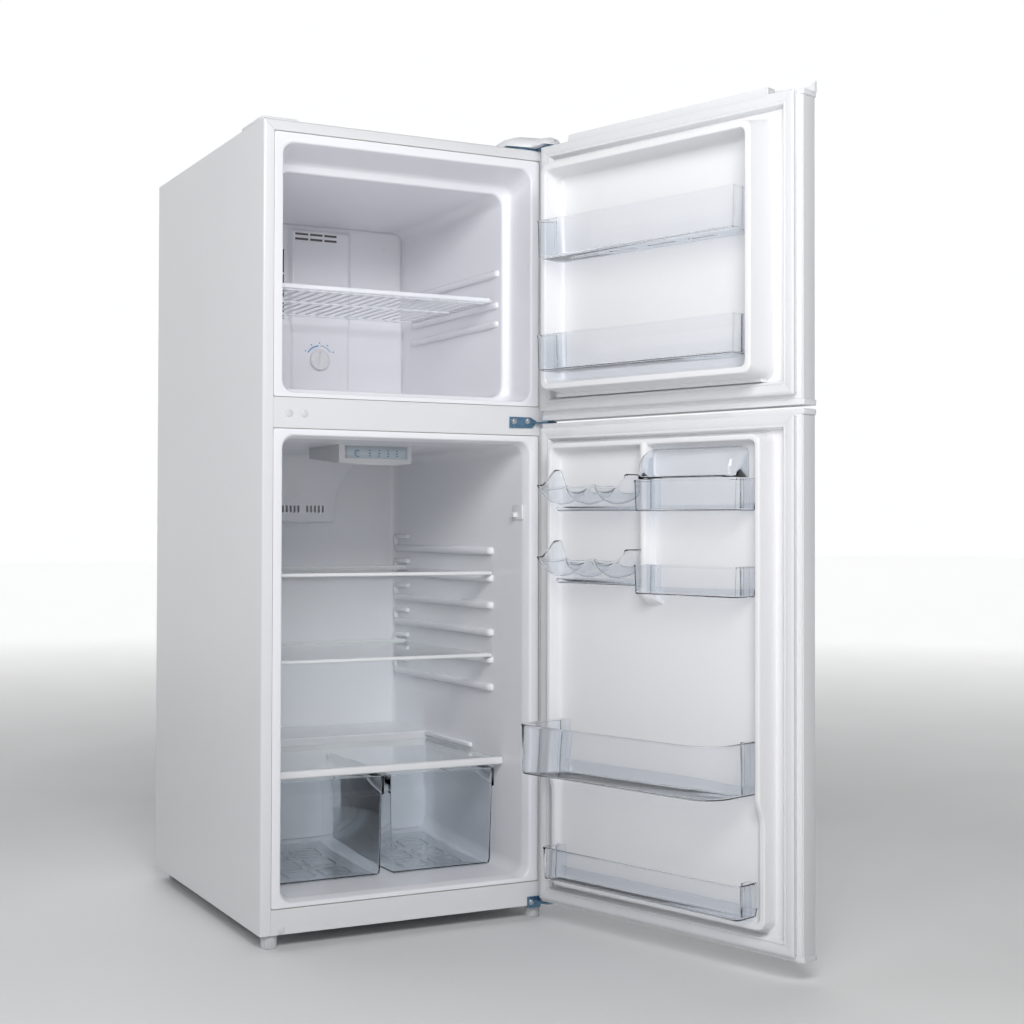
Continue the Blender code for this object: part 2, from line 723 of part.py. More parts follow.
def make_door_skin(name, span_z, looks, body):
    """The outer panel: a sheet folded round both upright edges of the door."""
    left, right, front, back = DOOR_FREE_EDGE, DOOR_HINGE_EDGE, DOOR_FRONT, SKIN_BACK
    fold = 8.0
    outline = [
        (left + fold, back),
        (left, back),
        (left, front),
        (right, front),
        (right, back),
        (right - fold, back),
        (right - fold, back - SHEET),
        (right - SHEET, back - SHEET),
        (right - SHEET, front + SHEET),
        (left + SHEET, front + SHEET),
        (left + SHEET, back - SHEET),
        (left + fold, back - SHEET),
    ]
    prism(name, outline, facing_z, span_z, looks["steel"], body)


def make_end_cap(name, span_z, looks, body):
    """A plastic end cap with the bore that turns on the hinge pin."""
    cap = box(
        name, (DOOR_FREE_EDGE, DOOR_HINGE_EDGE), (DOOR_FRONT, RIM), span_z, looks["plastic"], body
    )
    bore = bmesh.new()
    outline = circle((0.0, 0.0), 4.6, 12)
    add_loft(bore, [facing_z(outline, span_z[0] - 20), facing_z(outline, span_z[1] + 20)])
    tool = add_object(name + "_bore_tool", bore, looks["plastic"], body)
    hide(tool)
    boolean(cap, tool)
    return cap


def dike_outlines(base_z, peak_in, inner):
    """Rectangles (x, z) of the raised ring: its foot, its crest outside and inside, its inner foot."""
    foot = (DIKE_BASE_X, base_z)
    crest_out = (grown(DIKE_BASE_X, -peak_in), grown(base_z, -peak_in))
    crest_in = (grown(DIKE_BASE_X, -peak_in - 10), grown(base_z, -peak_in - 10))
    floor = (grown(DIKE_BASE_X, -inner), grown(base_z, -inner))
    return foot, crest_out, crest_in, floor


def make_door_liner(name, door_z, base_z, crest_y, looks, body):
    """The moulded inner liner: a flat rim, a raised ring and a recessed middle."""
    foot, crest_out, crest_in, floor = dike_outlines(base_z, 8.0, DIKE_WIDTH)
    rim_x = (DOOR_FREE_EDGE + 3, DOOR_HINGE_EDGE - 3)
    rim_z = (door_z[0] + CAP_HEIGHT + 1, door_z[1] - CAP_HEIGHT - 1)
    rim = (rim_x, rim_z)

    def ring(spans, by, y, radius=CORNER):
        return facing_y(rectangle(grown(spans[0], by), grown(spans[1], by), radius, 2), y)

    loops = [
        ring(floor, WALL, FLOOR - WALL),
        ring(crest_in, WALL, crest_y - WALL),
        ring(crest_out, -WALL, crest_y - WALL),
        ring(foot, -WALL, RIM - WALL),
        ring(rim, 0.0, RIM - WALL, 2.0),
        ring(rim, 0.0, RIM, 2.0),
        ring(foot, 0.0, RIM),
        ring(crest_out, 0.0, crest_y),
        ring(crest_in, 0.0, crest_y),
        ring(floor, 0.0, FLOOR),
    ]
    return loft(name, loops, looks["liner"], body)


def make_door_foam(name, door_z, base_z, crest_y, looks, body):
    foot, crest_out, crest_in, floor = dike_outlines(base_z, 8.0, DIKE_WIDTH)
    off = WALL + GAP
    full_x = (DOOR_FREE_EDGE + SHEET + GAP, DOOR_HINGE_EDGE - SHEET - GAP)
    neck_x = (DOOR_FREE_EDGE + 8 + GAP, DOOR_HINGE_EDGE - 8 - GAP)
    span_z = (door_z[0] + CAP_HEIGHT + GAP, door_z[1] - CAP_HEIGHT - GAP)
    fold_y = SKIN_BACK - SHEET - GAP

    def ring(span_x, span_z, y, radius=1.0):
        return facing_y(rectangle(span_x, span_z, radius, 2), y)

    loops = [
        ring(full_x, span_z, DOOR_FRONT + SHEET + GAP),
        ring(full_x, span_z, fold_y),
        ring(neck_x, span_z, fold_y),
        ring(neck_x, span_z, RIM - off),
        ring(grown(foot[0], -off), grown(foot[1], -off), RIM - off, CORNER),
        ring(grown(crest_out[0], -off), grown(crest_out[1], -off), crest_y - off, CORNER),
        ring(grown(crest_in[0], off), grown(crest_in[1], off), crest_y - off, CORNER),
        ring(grown(floor[0], off), grown(floor[1], off), FLOOR - off, CORNER),
    ]
    return loft(name, loops, looks["foam"], body)


def make_gasket(name, span_z, looks, body):
    """The magnetic seal, a closed frame of soft vinyl."""
    outer = rectangle((-581.0, 3.0), span_z)
    inner = rectangle(grown((-581.0, 3.0), -GASKET_WIDTH), grown(span_z, -GASKET_WIDTH))
    shape = bmesh.new()
    loops = [
        facing_y(outer, RIM + GAP),
        facing_y(outer, GASKET_FACE),
        facing_y(inner, GASKET_FACE),
        facing_y(inner, RIM + GAP),
    ]
    rings = [[shape.verts.new(point) for point in loop] for loop in loops]
    for lower, upper in zip(rings, rings[1:] + rings[:1]):
        for i, corner in enumerate(lower):
            following = (i + 1) % len(lower)
            shape.faces.new((corner, lower[following], upper[following], upper[i]))
    add_object(name, shape, looks["gasket"], body)


def make_freezer_door(looks, body):
    low, high = FREEZER_DOOR_Z
    base_z = (1000.0, 1444.0)
    skin_z = (low + CAP_HEIGHT + GAP, high - CAP_HEIGHT - GAP)
    make_door_skin("freezer_door_skin", skin_z, looks, body)
    cap = make_end_cap("freezer_door_top_cap", (high - CAP_HEIGHT, high), looks, body)
    ridge = cutter(
        "cap_ridge_tool",
        body,
        ((-521, -53), (-8, RIM - 1), (high - 5, 1505)),
        ((DOOR_FREE_EDGE, -53), (DOOR_FRONT, DOOR_FRONT + 5), (high - 5, 1508)),
    )
    boolean(cap, ridge, "UNION")
    make_end_cap("freezer_door_bottom_cap", (low, low + CAP_HEIGHT), looks, body)
    make_door_liner("freezer_door_liner", FREEZER_DOOR_Z, base_z, 82.0, looks, body)
    make_door_foam("freezer_door_insulation", FREEZER_DOOR_Z, base_z, 82.0, looks, body)
    make_gasket("freezer_door_gasket", (969.5, 1487.0), looks, body)
    for name, span_z in (("freezer_bin_upper", (1250, 1323)), ("freezer_bin_lower", (1038, 1106))):
        bin_tray(name, BIN_X, (FLOOR + 1, 110), span_z, looks["clear"], body)


def make_fridge_door(looks, body, lid_body):
    low, high = FRIDGE_DOOR_Z
    base_z = (57.5, 905.0)
    skin_z = (low + CAP_HEIGHT + GAP, high - CAP_HEIGHT - GAP)
    make_door_skin("fridge_door_skin", skin_z, looks, body)
    make_end_cap("fridge_door_top_cap", (high - CAP_HEIGHT, high), looks, body)
    make_end_cap("fridge_door_bottom_cap", (low, low + CAP_HEIGHT), looks, body)
    liner = make_door_liner("fridge_door_liner", FRIDGE_DOOR_Z, base_z, 66.0, looks, body)
    divider = cutter("divider_tool", body, ((-285, -268), (FLOOR - 1, 60), (610, 885)))
    boolean(liner, divider, "UNION")
    make_door_foam("fridge_door_insulation", FRIDGE_DOOR_Z, base_z, 66.0, looks, body)
    make_gasket("fridge_door_gasket", (22.0, 936.0), looks, body)
    trays = (
        ("egg_rack_upper", (-262, -64), 105, (773, 850)),
        ("egg_rack_lower", (-262, -64), 105, (638, 712)),
        ("dairy_bin", (-514, -290), 100, (772, 828)),
        ("small_bin", (-514, -290), 100, (624, 677)),
        ("large_bin", (-516, -72), 172, (287, 379)),
        ("bottom_bin", (-514, -64), 96, (80, 140)),
    )
    for name, span_x, reach, span_z in trays:
        bin_tray(name, span_x, (FLOOR + 1, reach), span_z, looks["clear"], body)
    make_dairy_cover(looks, lid_body)


def make_dairy_cover(looks, lid_body):
    """A clear quarter-round lid that turns on two pins at its ends, on its origin's axis."""
    half, radius, steps = 106.0, 52.0, 6
    behind, below = -20.0, -32.0

    def arc(reach):
        angles = [math.radians(90.0 * i / steps) for i in range(steps + 1)]
        return [(behind + reach * math.sin(a), below + reach * math.cos(a)) for a in angles]

    outline = arc(radius) + list(reversed(arc(radius - 2.0)))
    lid = prism("dairy_cover", outline, facing_x, (-half, half), looks["clear"], lid_body, 40)
    ends = bmesh.new()
    for side in (-1, 1):
        near, far = sorted((side * half, side * (half - 2.0)))
        plate = [(behind, below), *reversed(arc(radius - 1.0))]
        add_loft(ends, [facing_x(plate, near), facing_x(plate, far)])
    tool = add_object("lid_ends_tool", ends, looks["clear"], lid_body)
    hide(tool)
    boolean(lid, tool, "UNION")


# ---------------------------------------------------------------- assembly


def stand_on_origin(root):
    """Moves the whole assembly so that its box stands on z 0, centred on the origin."""
    bpy.context.view_layer.update()
    graph = bpy.context.evaluated_depsgraph_get()
    corners = []
    for piece in bpy.data.objects:
        if piece.type == "MESH" and not piece.hide_render:
            evaluated = piece.evaluated_get(graph)
            corners += [evaluated.matrix_world @ vertex.co for vertex in evaluated.data.vertices]
    low = [min(corner[i] for corner in corners) for i in range(3)]
    high = [max(corner[i] for corner in corners) for i in range(3)]
    root.location = (-(low[0] + high[0]) / 2, -(low[1] + high[1]) / 2, -low[2])


def main():
    clear_scene()
    looks = make_materials()
    root = empty("refrigerator", (0, 0, 0))
    freezer_door = empty("freezer_door_axis", (HINGE_X, HINGE_Y, 0), root, OPEN_ANGLE)
    fridge_door = empty("fridge_door_axis", (HINGE_X, HINGE_Y, 0), root, OPEN_ANGLE)
    lid = empty("dairy_cover_axis", DAIRY_PIVOT, fridge_door)
    make_shell(looks, root)
    make_front_feet(looks, root)
    make_liners(looks, root)
    make_foam(looks, root)
    make_evaporator(looks, root, empty("fan_axis", FAN_CENTRE, root))
    make_dial(looks, empty("dial_axis", (DIAL_AT[0], COVER_FACE - DUCT_DEPTH, DIAL_AT[1]), root))
    make_wire_shelf(looks, empty("wire_shelf_origin", (0, WIRE_SHELF_FRONT, WIRE_SHELF_Z), root))
    make_controls(looks, root, empty("control_button_axis", CONTROL_BUTTON, root))
    make_duct_cover(looks, root)
    make_door_switch(looks, root, empty("door_switch_axis", SWITCH_AT, root))
    for name, rib in (("glass_shelf_upper", UPPER_SHELF_RIB), ("glass_shelf_lower", LOWER_SHELF_RIB)):
        top = SHELF_RIB_TOP - rib * SHELF_RIB_PITCH
        make_glass_shelf(name, looks, empty(name + "_origin", (0, GLASS_SHELF_FRONT, top + GAP), root))
    make_crisper_cover(looks, root)
    middle = CRISPER_WIDTH / 2 + 4
    left = empty("crisper_left_origin", (-middle, CRISPER_FRONT, CRISPER_Z), root)
    right = empty("crisper_right_origin", (middle, CRISPER_FRONT, CRISPER_Z), root)
    make_crispers(looks, left, right)
    make_hinges(looks, root)
    make_machine_room(looks, root)
    make_freezer_door(looks, freezer_door)
    make_fridge_door(looks, fridge_door, lid)
    stand_on_origin(root)


main()
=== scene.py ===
"""Looks of the top freezer refrigerator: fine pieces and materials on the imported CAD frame.

Shapes are drawn in millimetres, in two frames. The cabinet frame has x to the right seen from
the front, y to the back from the cabinet's front face, and z up from the body's underside. A
door is drawn shut, in a frame on its hinge axis, and the matrix DOOR stands it open.
"""

import json
import math

import bmesh
import bpy
from mathutils import Matrix, Vector


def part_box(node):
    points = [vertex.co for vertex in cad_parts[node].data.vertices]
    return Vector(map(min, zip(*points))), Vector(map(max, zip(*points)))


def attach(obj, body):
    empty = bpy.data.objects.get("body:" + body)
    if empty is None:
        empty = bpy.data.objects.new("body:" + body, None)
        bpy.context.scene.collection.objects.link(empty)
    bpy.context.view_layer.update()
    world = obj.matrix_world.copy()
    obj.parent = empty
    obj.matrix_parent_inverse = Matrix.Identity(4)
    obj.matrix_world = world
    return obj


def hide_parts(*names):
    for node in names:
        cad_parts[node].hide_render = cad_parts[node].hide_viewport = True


MM = 0.001
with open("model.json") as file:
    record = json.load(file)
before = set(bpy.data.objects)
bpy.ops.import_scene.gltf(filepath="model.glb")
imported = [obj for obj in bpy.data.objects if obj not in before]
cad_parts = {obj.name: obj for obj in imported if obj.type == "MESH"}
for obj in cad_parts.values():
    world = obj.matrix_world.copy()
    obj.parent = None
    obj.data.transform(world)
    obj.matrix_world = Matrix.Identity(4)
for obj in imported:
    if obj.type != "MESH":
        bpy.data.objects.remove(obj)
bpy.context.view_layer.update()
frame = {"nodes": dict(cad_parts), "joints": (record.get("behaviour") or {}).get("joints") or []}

# Driving dimensions, as in the CAD
HALF_WIDTH = 300.0
DEPTH = 675.0
HEIGHT = 1490.0
FLANGE = 20.6
FOOT_HEIGHT = 26.0
OPENING_HALF = 260.0
FRIDGE_HALF = 254.0
FREEZER_Z = (990.0, 1451.0)
FRIDGE_Z = (55.0, 911.0)
MULLION_Z = (924.0, 980.0)
KICK_TOP = 46.0
COVER_FACE = 560.0
RIM = 14.0
GASKET_FACE = 28.2
RING_X = (-536.0, -42.0)
FLOOR = 36.0
FREEZER_DOOR_Z = (952.0, 1489.5)
FRIDGE_DOOR_Z = (12.0, 946.0)
DOOR_X = (-589.3, 10.7)
DOOR_FRONT = -26.0
CAP_HEIGHT = 10.0

# Where the two drawing frames stand in the world
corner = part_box("side_panel_left")[0]
ORIGIN = Vector((corner.x + HALF_WIDTH * MM, corner.y, corner.z))
door_joint = next(j for j in frame["joints"] if j["name"] == "freezer_door_hinge")
OPEN_ANGLE = -math.radians(door_joint["range_deg"][0])
TO_METRES = Matrix.Scale(MM, 4)
CABINET = Matrix.Translation(ORIGIN) @ TO_METRES
DOOR = (
    Matrix.Translation((door_joint["pos_m"][0], door_joint["pos_m"][1], ORIGIN.z))
    @ Matrix.Rotation(OPEN_ANGLE, 4, "Z")
    @ TO_METRES
)
DOOR_BODIES = ("freezer_door", "fridge_door", "dairy_cover")


# ---------------------------------------------------------------- materials

NOISE_RANGE = (0.3, 0.7)  # nearly all of a noise texture's values lie in it


class Look:
    """A material under construction: its shader and short calls that wire texture nodes to it."""

    def __init__(self, name, colour, roughness, **settings):
        self.material = bpy.data.materials.new(name)
        self.material.use_nodes = True
        self.tree = self.material.node_tree
        self.shader = self.tree.nodes["Principled BSDF"]
        self.colour = colour
        self.fill(self.shader, {"Base Color": (*colour, 1.0), "Roughness": roughness, **settings})
        self.coordinates = self.add("TexCoord", {}).outputs["Object"]

    def fill(self, node, inputs):
        """Sets inputs of a node. Each takes a value, or a link from another node's output."""
        for name, value in inputs.items():
            if isinstance(value, bpy.types.NodeSocket):
                self.tree.links.new(value, node.inputs[name])
            else:
                node.inputs[name].default_value = value

    def add(self, kind, inputs, **settings):
        node = self.tree.nodes.new("ShaderNode" + kind)
        for name, value in settings.items():
            setattr(node, name, value)
        self.fill(node, inputs)
        return node

    def noise(self, scale, detail=2.0):
        inputs = {"Vector": self.coordinates, "Scale": scale, "Detail": detail}
        return self.add("TexNoise", inputs).outputs["Fac"]

    def mixed(self, factor, colour_a, colour_b):
        inputs = {"Factor": factor, "A": colour_a, "B": colour_b}
        return self.add("Mix", inputs, data_type="RGBA").outputs["Result"]

    def mottle(self, scale, amount):
        """Small uneven lightness, as real moulded and painted surfaces have."""
        dark = [c * (1 - amount) for c in self.colour]
        light = [min(1.0, c * (1 + amount)) for c in self.colour]
        tone = self.mixed(self.noise(scale, 3.0), (*dark, 1.0), (*light, 1.0))
        self.fill(self.shader, {"Base Color": tone})
        return self

    def tone_edges(self, edge_colour):
        """Darkens the colour where the surface turns away: its own tint over a longer path, and painted
        shade of edges dark from bent light.
        """
        even = self.shader.inputs["Base Color"].links[0].from_socket
        facing = self.add("LayerWeight", {"Blend": 0.5}).outputs["Facing"]
        turned_away = self.add("MapRange", {"From Min": 0.5, "Value": facing}).outputs["Result"]
        self.fill(self.shader, {"Base Color": self.mixed(turned_away, even, (*edge_colour, 1.0))})
        return self

    def glow_with_distance(self, near, far):
        """Lifts a floor toward white from (distance in m, strength) near to far, so no horizon shows."""
        length = self.add("VectorMath", {0: self.coordinates}, operation="LENGTH").outputs["Value"]
        inputs = {"Value": length, "From Min": near[0], "To Min": near[1]}
        ramp = self.add("MapRange", {**inputs, "From Max": far[0], "To Max": far[1]})
        glow = {"Emission Strength": ramp.outputs["Result"], "Emission Color": (1.0, 1.0, 1.0, 1.0)}
        self.fill(self.shader, glow)
        return self

    def uneven_gloss(self, scale, low, high):
        inputs = {"Value": self.noise(scale), "From Min": NOISE_RANGE[0], "From Max": NOISE_RANGE[1]}
        ranged = self.add("MapRange", {**inputs, "To Min": low, "To Max": high})
        self.fill(self.shader, {"Roughness": ranged.outputs["Result"]})
        return self

    def bump(self, *layers):
        """Bump layers of (noise scale, height in mm), each fed through the one before."""
        normal = None
        for scale, height in layers:
            inputs = {"Strength": 1.0, "Distance": height * MM, "Height": self.noise(scale)}
            if normal:
                inputs["Normal"] = normal
            normal = self.add("Bump", inputs).outputs["Normal"]
        self.fill(self.shader, {"Normal": normal})
        return self

    def lets_lamps_through(self, tint, straight_after=8.5):
        """Shadow, bounced and many times bent rays pass straight on, so that what lies behind is lit."""
        path = self.add("LightPath", {}).outputs
        lamp_rays = {0: path["Is Shadow Ray"], 1: path["Is Diffuse Ray"]}
        from_lamp = self.add("Math", lamp_rays, operation="MAXIMUM").outputs[0]
        depth = {0: path["Ray Depth"], 1: straight_after}
        deep = self.add("Math", depth, operation="GREATER_THAN").outputs[0]
        straight = self.add("Math", {0: from_lamp, 1: deep}, operation="MAXIMUM").outputs[0]
        window = self.add("BsdfTransparent", {"Color": (*tint, 1.0)}).outputs["BSDF"]
        mix = self.add("MixShader", {"Fac": straight, 1: self.shader.outputs["BSDF"], 2: window})
        self.fill(self.tree.nodes["Material Output"], {"Surface": mix.outputs["Shader"]})
        return self


# look: material, colour, roughness, mottle (scale, amount), gloss (scale, low, high), then
# each bump layer (scale, height in mm)
SOLID_LOOKS = {
    "paint": ("white_enamel", (0.78, 0.783, 0.803), 0.3, (5, 0.006), (4, 0.28, 0.32), (500, 0.005)),
    "plastic": ("white_moulding", (0.82, 0.83, 0.85), 0.36, (12, 0.008), (30, 0.34, 0.40), (700, 0.006)),
    # housing: white plastic painted darker, as painted shade on the control box and the front hole plugs
    "housing": (
        "control_housing_white", (0.68, 0.69, 0.71), 0.36, (12, 0.008), (30, 0.34, 0.40),
        (700, 0.006),
    ),
    "liner": (
        "thermoformed_liner", (0.885, 0.888, 0.928), 0.2, (4, 0.008), (5, 0.22, 0.26),
        (9, 0.35), (420, 0.004),
    ),
    "door_liner": (
        "door_liner_sheet", (0.87, 0.87, 0.888), 0.3, (4, 0.006), (5, 0.29, 0.32),
        (8, 0.3), (420, 0.004),
    ),
    "gasket": ("gasket_vinyl", (0.78, 0.79, 0.81), 0.5, (9, 0.008), (12, 0.46, 0.52), (300, 0.01)),
    "zinc": ("blue_zinc_plate", (0.16, 0.30, 0.44), 0.32, (90, 0.35), (200, 0.24, 0.42), (500, 0.04)),
    "screw": ("bright_screw_steel", (0.62, 0.64, 0.66), 0.28, (300, 0.1), (400, 0.2, 0.36), (900, 0.02)),
    "galvanised": ("galvanised_sheet", (0.56, 0.58, 0.60), 0.42, (55, 0.12), (70, 0.34, 0.52), (60, 0.04)),
    "wire": ("coated_wire", (0.88, 0.90, 0.94), 0.3, (60, 0.02), (120, 0.29, 0.36), (500, 0.004)),
    "aluminium": ("aluminium_fins", (0.72, 0.73, 0.75), 0.36, (120, 0.06), (90, 0.3, 0.45), (300, 0.03)),
    # black: black enamel of the compressor and fan motor, and painted shade for the side vent slits
    "black": ("black_enamel", (0.022, 0.022, 0.024), 0.3, (30, 0.2), (40, 0.25, 0.4), (260, 0.05)),
    # brown: a dark colour, painted shade seen through the vent slots
    "brown": ("dim_duct", (0.16, 0.14, 0.14), 0.6, (60, 0.1), (90, 0.5, 0.7), (300, 0.05)),
    "foot": ("grey_foot_moulding", (0.62, 0.63, 0.65), 0.3, (60, 0.03), (90, 0.26, 0.36), (600, 0.02)),
    "grey": ("grey_panel", (0.52, 0.58, 0.63), 0.35, (30, 0.03), (60, 0.3, 0.42), (700, 0.02)),
    "blue": ("blue_print", (0.05, 0.30, 0.62), 0.4, (200, 0.06), (100, 0.35, 0.5), (900, 0.01)),
    "icon": ("icon_print", (0.07, 0.27, 0.48), 0.4, (200, 0.04), (100, 0.35, 0.5), (900, 0.01)),
    "foam": ("polyurethane_foam", (0.62, 0.61, 0.57), 0.9, (80, 0.1), (90, 0.85, 0.95), (250, 0.4)),
    "floor": ("studio_floor", (0.80, 0.80, 0.802), 0.6, (0.8, 0.004), (3, 0.55, 0.65), (40, 0.02)),
}
SHADER_SETTINGS = {
    "paint": {"Coat Weight": 0.25, "Coat Roughness": 0.12},
    "wire": {"Coat Weight": 0.3, "Coat Roughness": 0.1},
    "black": {"Coat Weight": 0.4, "Coat Roughness": 0.15},
    "zinc": {"Metallic": 0.85},
    "screw": {"Metallic": 1.0},
    "galvanised": {"Metallic": 0.8},
    "aluminium": {"Metallic": 0.9},
}


def clear_look(name, colour, refraction):
    """A see-through material, nearly smooth."""
    return Look(name, colour, 0.02, **{"Transmission Weight": 1.0, "IOR": refraction})


def make_looks():
    looks = {}
    for key, (name, colour, roughness, mottle, gloss, *bumps) in SOLID_LOOKS.items():
        look = Look(name, colour, roughness, **SHADER_SETTINGS.get(key, {}))
        looks[key] = look.mottle(*mottle).uneven_gloss(*gloss).bump(*bumps)
    looks["floor"].glow_with_distance((1.6, 0.0), (8.0, 0.6))
    # Both clear looks darken toward an edge colour where they turn from the view: partly their tint, partly
    # painted shade
    clear = clear_look("clear_polystyrene", (0.958, 0.97, 0.982), 1.35)
    clear.mottle(14, 0.004).tone_edges((0.52, 0.60, 0.69)).uneven_gloss(20, 0.01, 0.03)
    looks["clear"] = clear.bump((12, 0.02)).lets_lamps_through((0.90, 0.91, 0.925))
    thin = clear_look("clear_drawer_wall", (0.925, 0.945, 0.965), 1.25)
    thin.mottle(14, 0.004).tone_edges((0.80, 0.85, 0.90)).uneven_gloss(20, 0.01, 0.03)
    looks["thin_clear"] = thin.bump((12, 0.02)).lets_lamps_through((0.935, 0.945, 0.955), 5.5)
    glass = clear_look("shelf_glass", (0.965, 0.985, 0.98), 1.45)
    glass.mottle(10, 0.004).uneven_gloss(20, 0.01, 0.03).bump((8, 0.01))
    looks["glass"] = glass.lets_lamps_through((0.95, 0.97, 0.965))
    return {key: look.material for key, look in looks.items()}


LOOKS = make_looks()

# The record's material slot that some looks usually stand for, built here but not kept or used
dict.fromkeys(("plastic", "housing", "foot"), "white_plastic")
dict.fromkeys(("brown", "grey", "blue", "icon"), "grey_plastic")


# ---------------------------------------------------------------- shape helpers


def facing_x(outline, x):
    return [(x, y, z) for y, z in outline]


def facing_y(outline, y):
    return [(x, y, z) for x, z in outline]


def facing_z(outline, z):
    return [(x, y, z) for x, y in outline]


def grown(span, by):
    return (span[0] - by, span[1] + by)


def circle(centre, radius, count=24):
    turns = [2 * math.pi * i / count for i in range(count)]
    return [(centre[0] + radius * math.cos(t), centre[1] + radius * math.sin(t)) for t in turns]


def rounded(span_a, span_b, radius, steps=6):
    """A rectangle with round corners. radius is one value, or four from the (high, low) corner on."""
    radii = radius if isinstance(radius, (tuple, list)) else (radius,) * 4
    (a0, a1), (b0, b1) = span_a, span_b
    corners = ((a1, b0, -1, 1, -90), (a1, b1, -1, -1, 0), (a0, b1, 1, -1, 90), (a0, b0, 1, 1, 180))
    points = []
    for (a, b, toward_a, toward_b, start), r in zip(corners, radii):
        r = max(r, 0.05)
        for i in range(steps + 1):
            turn = math.radians(start + 90 * i / steps)
            points.append(
                (a + toward_a * r + r * math.cos(turn), b + toward_b * r + r * math.sin(turn))
            )
    return points


def soften(rows, reaches, steps=4):
    """Rounds the bends of a path of number tuples. reaches says how far each bend's curve reaches."""
    soft = [rows[0]]
    for before, here, after, reach in zip(rows, rows[1:], rows[2:], reaches):
        ends = []
        for other in (before, after):
            length = math.dist(here, other)
            share = min(reach / length, 0.49) if length else 0.0
            ends.append([h + (o - h) * share for h, o in zip(here, other)])
        for i in range(steps + 1):
            t = i / steps
            weights = ((1 - t) ** 2, 2 * t * (1 - t), t**2)
            soft.append(
                tuple(
                    weights[0] * a + weights[1] * h + weights[2] * b
                    for a, h, b in zip(ends[0], here, ends[1])
                )
            )
    soft.append(rows[-1])
    return soft


def add_rings(shape, loops, closed=False, start_cap=True, end_cap=True):
    """Joins loops of equal length by quads. closed joins the last loop to the first."""
    rings = [[shape.verts.new(point) for point in loop] for loop in loops]
    pairs = list(zip(rings, rings[1:]))
    if closed:
        pairs.append((rings[-1], rings[0]))
    for lower, upper in pairs:
        for i, vertex in enumerate(lower):
            following = (i + 1) % len(lower)
            shape.faces.new((vertex, lower[following], upper[following], upper[i]))
    if not closed and start_cap:
        shape.faces.new(list(reversed(rings[0])))
    if not closed and end_cap:
        shape.faces.new(rings[-1])


def add_bar(shape, facing, outline, ends):
    """A straight bar with one outline all along. facing says which way the outline looks."""
    add_rings(shape, [facing(outline, end) for end in ends])


def add_grid(shape, rows, skip=None):
    """A sheet through rows of points. skip(row, column) leaves a cell open."""
    made = [[shape.verts.new(point) for point in row] for row in rows]
    for r, (lower, upper) in enumerate(zip(made, made[1:])):
        for c in range(len(lower) - 1):
            if skip is None or not skip(r, c):
                shape.faces.new((lower[c], lower[c + 1], upper[c + 1], upper[c]))


def drawn_in(span_x, span_y, inset, radius, z, steps=6):
    """A level rectangle with round corners, drawn in by inset on all sides."""
    return facing_z(rounded(grown(span_x, -inset), grown(span_y, -inset), radius, steps), z)


def add_block(shape, span_x, span_y, span_z, radius=1.0, edge=0.6):
    """A block with round upright edges and eased top and bottom edges."""
    z0, z1 = span_z
    levels = ((z0, edge), (z0 + edge, 0.0), (z1 - edge, 0.0), (z1, edge))
    corners = [max(radius - inset, 0.2) for _, inset in levels]
    add_rings(shape, [drawn_in(span_x, span_y, i, r, z, 3) for (z, i), r in zip(levels, corners)])


def add_tube(shape, path, radius, sides=8):
    """A round wire along a path that bends gently and never doubles back."""
    points = [Vector(point) for point in path]
    side_axis = None
    loops = []
    for i, point in enumerate(points):
        along = (points[min(i + 1, len(points) - 1)] - points[max(i - 1, 0)]).normalized()
        if side_axis is None:
            helper = Vector((0, 0, 1)) if abs(along.z) < 0.9 else Vector((1, 0, 0))
            side_axis = along.cross(helper).normalized()
        side_axis = (side_axis - along * side_axis.dot(along)).normalized()
        other = along.cross(side_axis)
        turns = [2 * math.pi * k / sides for k in range(sides)]
        loops.append(
            [point + radius * (math.cos(t) * side_axis + math.sin(t) * other) for t in turns]
        )
    add_rings(shape, loops)


def turned(profile, centre, axis, count=24):
    """Loops of a round piece from (radius, height) rows, turned about an axis through centre."""
    loops = []
    for radius, height in profile:
        ring = circle((0.0, 0.0), radius, count)
        if axis == "x":
            loops.append([(centre[0] + height, centre[1] + a, centre[2] + b) for a, b in ring])
        elif axis == "y":
            loops.append([(centre[0] + a, centre[1] + height, centre[2] + b) for a, b in ring])
        else:
            loops.append([(centre[0] + a, centre[1] + b, centre[2] + height) for a, b in ring])
    return loops


def add_modifier(piece, kind, **settings):
    modifier = piece.modifiers.new(kind.title(), kind)
    for key, value in settings.items():
        setattr(modifier, key, value)


def add_piece(name, shape, look, body="cabinet", node=None, smooth=35, sheet=0.0, bevel=0.0):
    """Makes an object of a bmesh in millimetres, parents it to its body and hides the CAD node it replaces.

    node is the CAD node that it replaces. smooth is the angle up to which edges are shaded smooth.
    sheet thickens an open sheet behind its faces, and bevel eases its sharp edges, both in mm.
    """
    if not sheet:
        bmesh.ops.recalc_face_normals(shape, faces=shape.faces)
    shape.transform(DOOR if body in DOOR_BODIES else CABINET)
    shape.normal_update()
    mesh = bpy.data.meshes.new(name)
    shape.to_mesh(mesh)
    shape.free()
    mesh.materials.append(LOOKS[look])
    mesh.shade_smooth()
    mesh.set_sharp_from_angle(angle=math.radians(smooth))
    piece = bpy.data.objects.new(name, mesh)
    bpy.context.scene.collection.objects.link(piece)
    if sheet:
        add_modifier(piece, "SOLIDIFY", thickness=sheet * MM, offset=-1.0)
    if bevel:
        sharp = {"limit_method": "ANGLE", "angle_limit": math.radians(40)}
        add_modifier(piece, "BEVEL", width=bevel * MM, segments=2, **sharp)
    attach(piece, body)
    if node:
        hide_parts(node)
    return piece


def turn_faces(shape, toward):
    """Flips an open sheet if its faces look away from a point on its visible side."""
    shape.normal_update()
    aim = Vector(toward)
    facing = sum((aim - f.calc_center_median()).dot(f.normal) * f.calc_area() for f in shape.faces)
    if facing < 0:
        bmesh.ops.reverse_faces(shape, faces=shape.faces)


